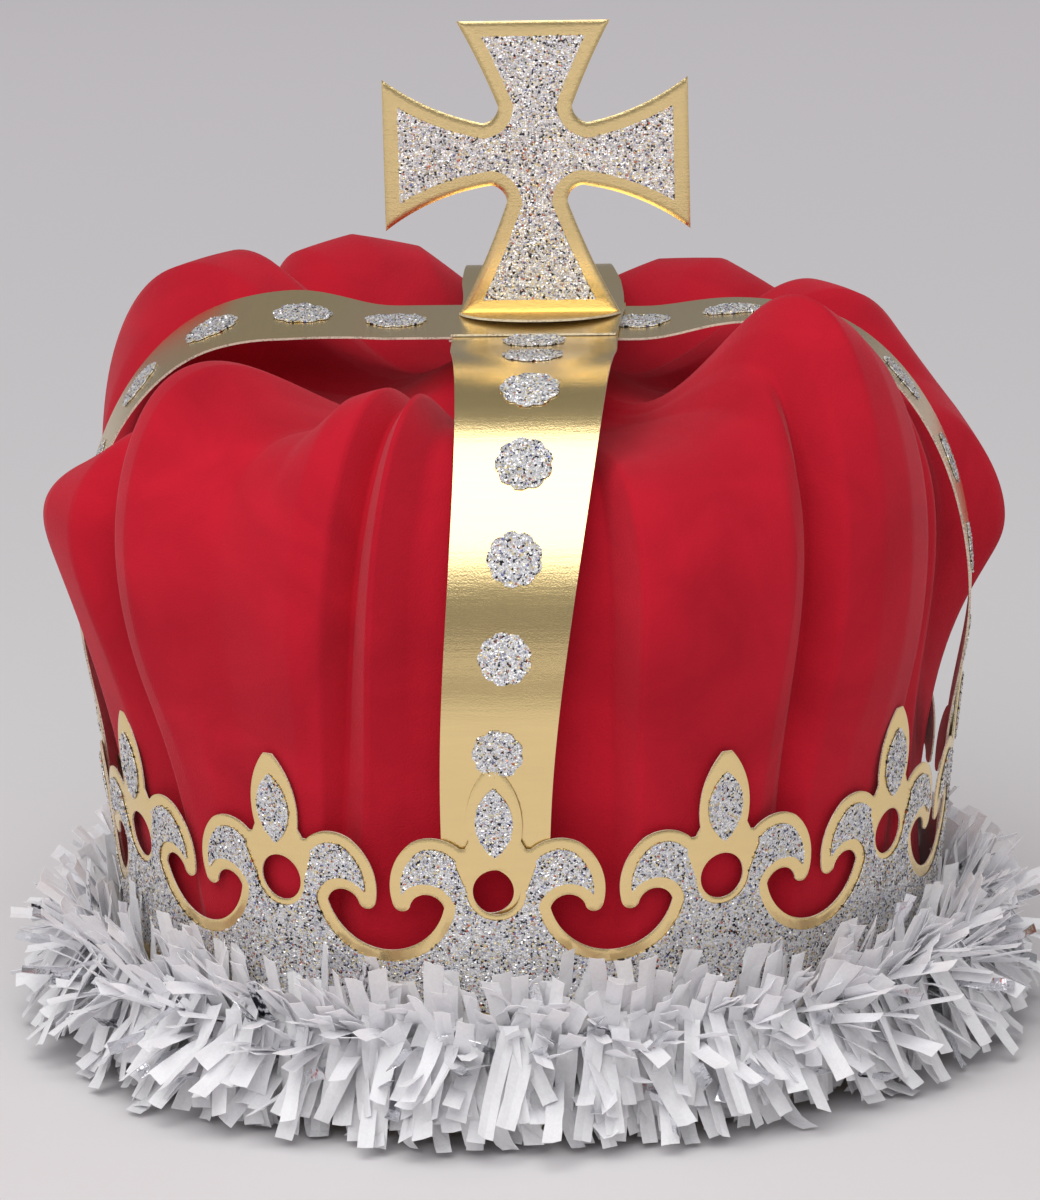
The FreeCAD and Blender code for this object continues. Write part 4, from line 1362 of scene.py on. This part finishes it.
class CROWN_OT_cap(bpy.types.Operator):
    """Make the gathered velvet cap that puffs out between the straps"""

    bl_idname = "crown.cap"
    bl_label = "Velvet cap"

    def execute(self, context):
        columns = len(FOLDS) * FOLD_COLUMNS
        outer = cap_surface(0.0, columns, OUTER_ROWS)
        inner = cap_surface(CAP["cloth"], columns, INNER_ROWS)
        bm = bmesh.new()
        uv = bm.loops.layers.uv.verify()

        def add_rows(grid, flip):
            rows = [[bm.verts.new(Vector(point) * MM) for point in row] for row in grid.tolist()]
            for r in range(len(rows) - 1):
                for c in range(columns):
                    after = (c + 1) % columns
                    corners = [rows[r][c], rows[r][after], rows[r + 1][after], rows[r + 1][c]]
                    flat = [(c, r), (c + 1, r), (c + 1, r + 1), (c, r + 1)]
                    if flip:
                        corners.reverse()
                        flat.reverse()
                    face = bm.faces.new(corners)
                    face.smooth = True
                    for loop, (x, y) in zip(face.loops, flat):
                        loop[uv].uv = (x / columns, y / (len(rows) - 1.0))
            face = bm.faces.new(rows[-1][::-1] if flip else rows[-1])
            face.smooth = True
            return rows

        outside = add_rows(outer, False)
        within = add_rows(inner, True)
        for c in range(columns):
            after = (c + 1) % columns
            bm.faces.new((outside[0][after], outside[0][c], within[0][c], within[0][after]))
        piece = finish_mesh(bm, "gathered_cap", [material("velvet_pile")])
        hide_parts("velvet_cap")
        return {"FINISHED"}


# Garland


# Strips that stick out, stand against the band and hang down: their way out from the cord
# and up from it, their share of all strips, and their lowest and highest rise in radians
TISSUE_LAYERS = (
    (0.0, 0.0, 0.26, -0.9, 1.1),
    (0.0015, -0.003, 0.34, 1.10, 1.52),
    (0.006, 0.009, 0.40, -1.50, -0.75),
)


def strip_mesh(name, chance, width, length, crumple):
    """One thin strip along +X, bent, swayed and twisted, closed all round."""
    thick = 0.00014
    along = 7
    bend = chance.uniform(-0.45, 0.30)
    kink = chance.randrange(2, along - 1)
    kink_bend = chance.uniform(-1.0, 0.8) * crumple
    sway = chance.uniform(-0.18, 0.18)
    twist = chance.uniform(-0.9, 0.9) * crumple
    cup = chance.uniform(-0.5, 0.5)
    out, up, across = 0.0015, 0.0, 0.0
    angle = chance.uniform(-0.15, 0.15)
    rows = []
    for n in range(along + 1):
        share = n / along
        turn = twist * share
        half = width / 2.0 * (1.0 - 0.1 * chance.random())
        for side in (-1.0, 0.0, 1.0):
            dip = cup * width * 0.25 * (1.0 - abs(side)) + chance.uniform(-1, 1) * 0.0002 * crumple
            y = across + side * half * math.cos(turn)
            lift = side * half * math.sin(turn) + dip
            x = out - lift * math.sin(angle)
            z = up + lift * math.cos(angle)
            if n == along:
                x += side * half * chance.uniform(-0.15, 0.15)
            rows.append((x, y, z))
        angle += bend / along + (kink_bend if n == kink else 0.0)
        step = length / along
        out += step * math.cos(angle)
        up += step * math.sin(angle)
        across += step * sway * share
    verts = [(x, y, z + thick / 2.0) for x, y, z in rows]
    verts += [(x, y, z - thick / 2.0) for x, y, z in rows]
    below = len(rows)
    faces = []
    for n in range(along):
        for s in (0, 1):
            a = 3 * n + s
            faces.append((a, a + 3, a + 4, a + 1))
            faces.append((below + a, below + a + 1, below + a + 4, below + a + 3))
        a, b = 3 * n, 3 * n + 2
        faces.append((a, below + a, below + a + 3, a + 3))
        faces.append((b, b + 3, below + b + 3, below + b))
    for s in (0, 1):
        last = 3 * along + s
        faces.append((s, s + 1, below + s + 1, below + s))
        faces.append((last, below + last, below + last + 1, last + 1))
    mesh = bpy.data.meshes.new(name)
    mesh.from_pydata(verts, [], faces)
    mesh.update()
    return mesh


def strip_shapes(name, count, seed, width, length, crumple):
    """Collection of differing strips for a tree to pick from."""
    chance = random.Random(seed)
    shapes = bpy.data.collections.new(name)
    for n in range(count):
        mesh = strip_mesh("%s_%d" % (name, n), chance, width, length, crumple)
        shapes.objects.link(bpy.data.objects.new(mesh.name, mesh))
    return shapes


def rest_on_floor(piece):
    """Lays what would reach below the floor flat on it."""
    soft = 0.004
    least = 0.0005
    for vertex in piece.data.vertices:
        height = vertex.co.z
        if height < soft:
            vertex.co.z = least + (soft - least) * math.exp((height - soft) / (soft - least))


def drop_shapes(shapes):
    """Removes shapes that a tree has used up."""
    for holder in list(shapes.objects):
        bpy.data.objects.remove(holder)
    bpy.data.collections.remove(shapes)


class CROWN_OT_garland(bpy.types.Operator):
    """Make the garland of tissue and foil strips round the foot"""

    bl_idname = "crown.garland"
    bl_label = "Garland"

    def execute(self, context):
        sizes = context.scene.crown_garland
        dress_node("garland_cord", "twisted_cord")
        low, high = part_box("garland_cord")
        radius = (high.x - low.x) / 2.0 - 0.002
        height = (low.z + high.z) / 2.0
        tree = fringe_tree()
        shapes = strip_shapes("tissue_strip", 16, 3, sizes.width, sizes.length, 0.45)
        base = bpy.data.meshes.new("nothing")
        bm = bmesh.new()
        for number, (out, up, share, lowest, highest) in enumerate(TISSUE_LAYERS):
            mesh = grown_mesh("tissue_layer", tree, base, Radius=radius + out,
                              Height=height + up, Strips=int(share * sizes.strips),
                              Lowest=lowest, Highest=highest, Jitter=0.0035,
                              Shapes=shapes, Seed=5 + 40 * number,
                              Material=material("tissue_paper"))
            bm.from_mesh(mesh)
            bpy.data.meshes.remove(mesh)
        drop_shapes(shapes)
        mesh = bpy.data.meshes.new("tissue_fringe")
        bm.to_mesh(mesh)
        bm.free()
        mesh.materials.append(material("tissue_paper"))
        fringe = add_piece("tissue_fringe", mesh)
        rest_on_floor(fringe)
        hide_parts("tissue_strips")
        shapes = strip_shapes("foil_strip", 8, 9, 0.7 * sizes.width, sizes.length, 1.0)
        shine = grown("foil_fringe", tree, base, Radius=radius, Height=height,
                      Strips=sizes.foils, Lowest=-0.55, Highest=1.35, Jitter=0.0016,
                      Shapes=shapes, Seed=23, Material=material("crinkled_film"))
        drop_shapes(shapes)
        rest_on_floor(shine)
        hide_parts("foil_strips")
        return {"FINISHED"}


# Stage


def floor_material():
    """Pale floor, painted lighter further from the crown to stand in for a brighter lit backdrop,
    with a painted dark reflection in front.
    """
    look = bpy.context.scene.crown_stage
    surface, tree, shader = new_material("floor")
    spot = node(tree, "ShaderNodeTexCoord")
    # Painted light: the floor's colour turns paler with distance from the crown.
    reach = node(tree, "ShaderNodeVectorMath", {0: spot.outputs["Object"]},
                 operation="LENGTH")
    share = node(tree, "ShaderNodeMapRange",
                 {"Value": reach.outputs["Value"], "From Min": 0.25, "From Max": 1.6},
                 interpolation_type="SMOOTHSTEP")
    shade = mix_colour(tree, share.outputs["Result"], look.floor, look.distance)
    # Painted reflection: only glossy rays see a dark patch, colour (0.22, 0.21, 0.20), on the floor
    # in front of the crown, so the gold mirrors a dark table edge.
    rays = node(tree, "ShaderNodeLightPath")
    forward = node(tree, "ShaderNodeSeparateXYZ", {"Vector": spot.outputs["Object"]})
    reflection_patch_start = node(tree, "ShaderNodeMapRange",
                {"Value": forward.outputs["Y"], "From Min": -0.30, "From Max": -0.55},
                interpolation_type="SMOOTHSTEP")
    reflection_patch_end = node(tree, "ShaderNodeMapRange",
                  {"Value": forward.outputs["Y"], "From Min": -0.95, "From Max": -0.72},
                  interpolation_type="SMOOTHSTEP")
    painted_reflection_patch = maths(tree, "MULTIPLY", reflection_patch_start.outputs["Result"], reflection_patch_end.outputs["Result"])
    painted_reflection_mask = maths(tree, "MULTIPLY", painted_reflection_patch, rays.outputs["Is Glossy Ray"])
    shade = mix_colour(tree, painted_reflection_mask, shade, (0.22, 0.21, 0.20))
    tree.links.new(shade, shader.inputs["Base Color"])
    shader.inputs["Roughness"].default_value = 0.9
    shader.inputs["Specular IOR Level"].default_value = 0.1
    return surface


def aim(lamp, target):
    """Turns a lamp towards a point."""
    away = Vector(target) - lamp.location
    lamp.rotation_euler = away.to_track_quat("-Z", "Y").to_euler()


def add_softbox(name, place, target, size, power, colour=(1.0, 1.0, 1.0)):
    """Adds a rectangular lamp that looks at a point."""
    light = bpy.data.lights.new(name, "AREA")
    light.shape = "RECTANGLE"
    light.size, light.size_y = size
    light.energy = power
    light.color = colour
    lamp = bpy.data.objects.new(name, light)
    lamp.location = place
    aim(lamp, target)
    bpy.context.scene.collection.objects.link(lamp)
    return lamp


# Camera at the photograph's own place: its focal length in picture widths and its tilt
FOCAL_SHARE = 6634.9 / max(PHOTO_SIZE)
CAMERA_TILT = -1.4525


def add_camera():
    """Camera at the photograph's own place, angle and tilt."""
    place = Vector((0.1166, -1.4725, 0.4560))
    target = Vector((-0.0010, -0.0001, 0.0972))
    ahead = (target - place).normalized()
    right = ahead.cross(Vector((0.0, 0.0, 1.0))).normalized()
    up = right.cross(ahead)
    tilt = math.radians(CAMERA_TILT)
    tilted_right = math.cos(tilt) * right + math.sin(tilt) * up
    tilted_up = math.cos(tilt) * up - math.sin(tilt) * right
    lens = bpy.data.cameras.new("camera")
    lens.sensor_width = 36.0
    lens.lens = FOCAL_SHARE * lens.sensor_width
    lens.clip_start, lens.clip_end = 0.05, 60.0
    camera = bpy.data.objects.new("camera", lens)
    turn = Matrix((tilted_right, tilted_up, -ahead)).transposed()
    camera.matrix_world = Matrix.Translation(place) @ turn.to_4x4()
    bpy.context.scene.collection.objects.link(camera)
    bpy.context.scene.camera = camera


class CROWN_OT_stage(bpy.types.Operator):
    """Set the pale floor, the soft light and the camera"""

    bl_idname = "crown.stage"
    bl_label = "Stage"

    def execute(self, context):
        look = context.scene.crown_stage
        context.scene.view_settings.view_transform = "Standard"
        half = 14.0
        mesh = bpy.data.meshes.new("floor")
        corners = [(x * half, y * half, 0.0) for x, y in ((-1, -1), (1, -1), (1, 1), (-1, 1))]
        mesh.from_pydata(corners, [], [(0, 1, 2, 3)])
        mesh.materials.append(floor_material())
        floor = bpy.data.objects.new("floor", mesh)
        context.scene.collection.objects.link(floor)
        add_softbox("overhead", (-0.25, -1.05, 1.45), (0.0, -0.15, 0.05), (1.7, 1.9),
                    look.softbox)
        world = bpy.data.worlds.new("studio")
        context.scene.world = world
        world.use_nodes = True
        tree = world.node_tree
        back = tree.nodes["Background"]
        rays = node(tree, "ShaderNodeLightPath")
        strength = node(tree, "ShaderNodeMapRange",
                        {"Value": rays.outputs["Is Glossy Ray"], "To Min": look.ambient,
                         "To Max": 0.24})
        back.inputs["Color"].default_value = (0.98, 0.98, 1.0, 1.0)
        tree.links.new(strength.outputs["Result"], back.inputs["Strength"])
        add_camera()
        return {"FINISHED"}


class CROWN_PT_panel(bpy.types.Panel):
    """Lists the crown's settings and its operators"""

    bl_idname = "CROWN_PT_panel"
    bl_label = "Crown"
    bl_space_type = "VIEW_3D"
    bl_region_type = "UI"
    bl_category = "Crown"

    def draw(self, context):
        layout = self.layout
        scene = context.scene
        for title, settings in (("Card", scene.crown_card), ("Finishes", scene.crown_finishes),
                                ("Garland", scene.crown_garland), ("Stage", scene.crown_stage)):
            box = layout.box()
            box.label(text=title)
            for key in settings.__annotations__:
                box.prop(settings, key)
        for operator in OPERATORS:
            layout.operator(operator.bl_idname)


OPERATORS = (CROWN_OT_band, CROWN_OT_straps, CROWN_OT_cross, CROWN_OT_glitter, CROWN_OT_cap,
             CROWN_OT_garland, CROWN_OT_stage)
GROUPS = {"crown_card": CardSizes, "crown_finishes": Finishes, "crown_garland": GarlandSizes,
          "crown_stage": StageLook}


def register():
    """Registers the settings, the operators and the panel."""
    for kind in GROUPS.values():
        bpy.utils.register_class(kind)
    for key, kind in GROUPS.items():
        setattr(bpy.types.Scene, key, bpy.props.PointerProperty(type=kind))
    for kind in (*OPERATORS, CROWN_PT_panel):
        bpy.utils.register_class(kind)


def unregister():
    """Takes them away again."""
    for kind in (CROWN_PT_panel, *reversed(OPERATORS)):
        bpy.utils.unregister_class(kind)
    for key, kind in GROUPS.items():
        delattr(bpy.types.Scene, key)
        bpy.utils.unregister_class(kind)


def main():
    """Builds the crown."""
    register()
    bpy.ops.crown.stage()
    bpy.ops.crown.band()
    bpy.ops.crown.straps()
    bpy.ops.crown.cross()
    bpy.ops.crown.glitter()
    bpy.ops.crown.cap()
    bpy.ops.crown.garland()


if __name__ == "__main__":
    main()
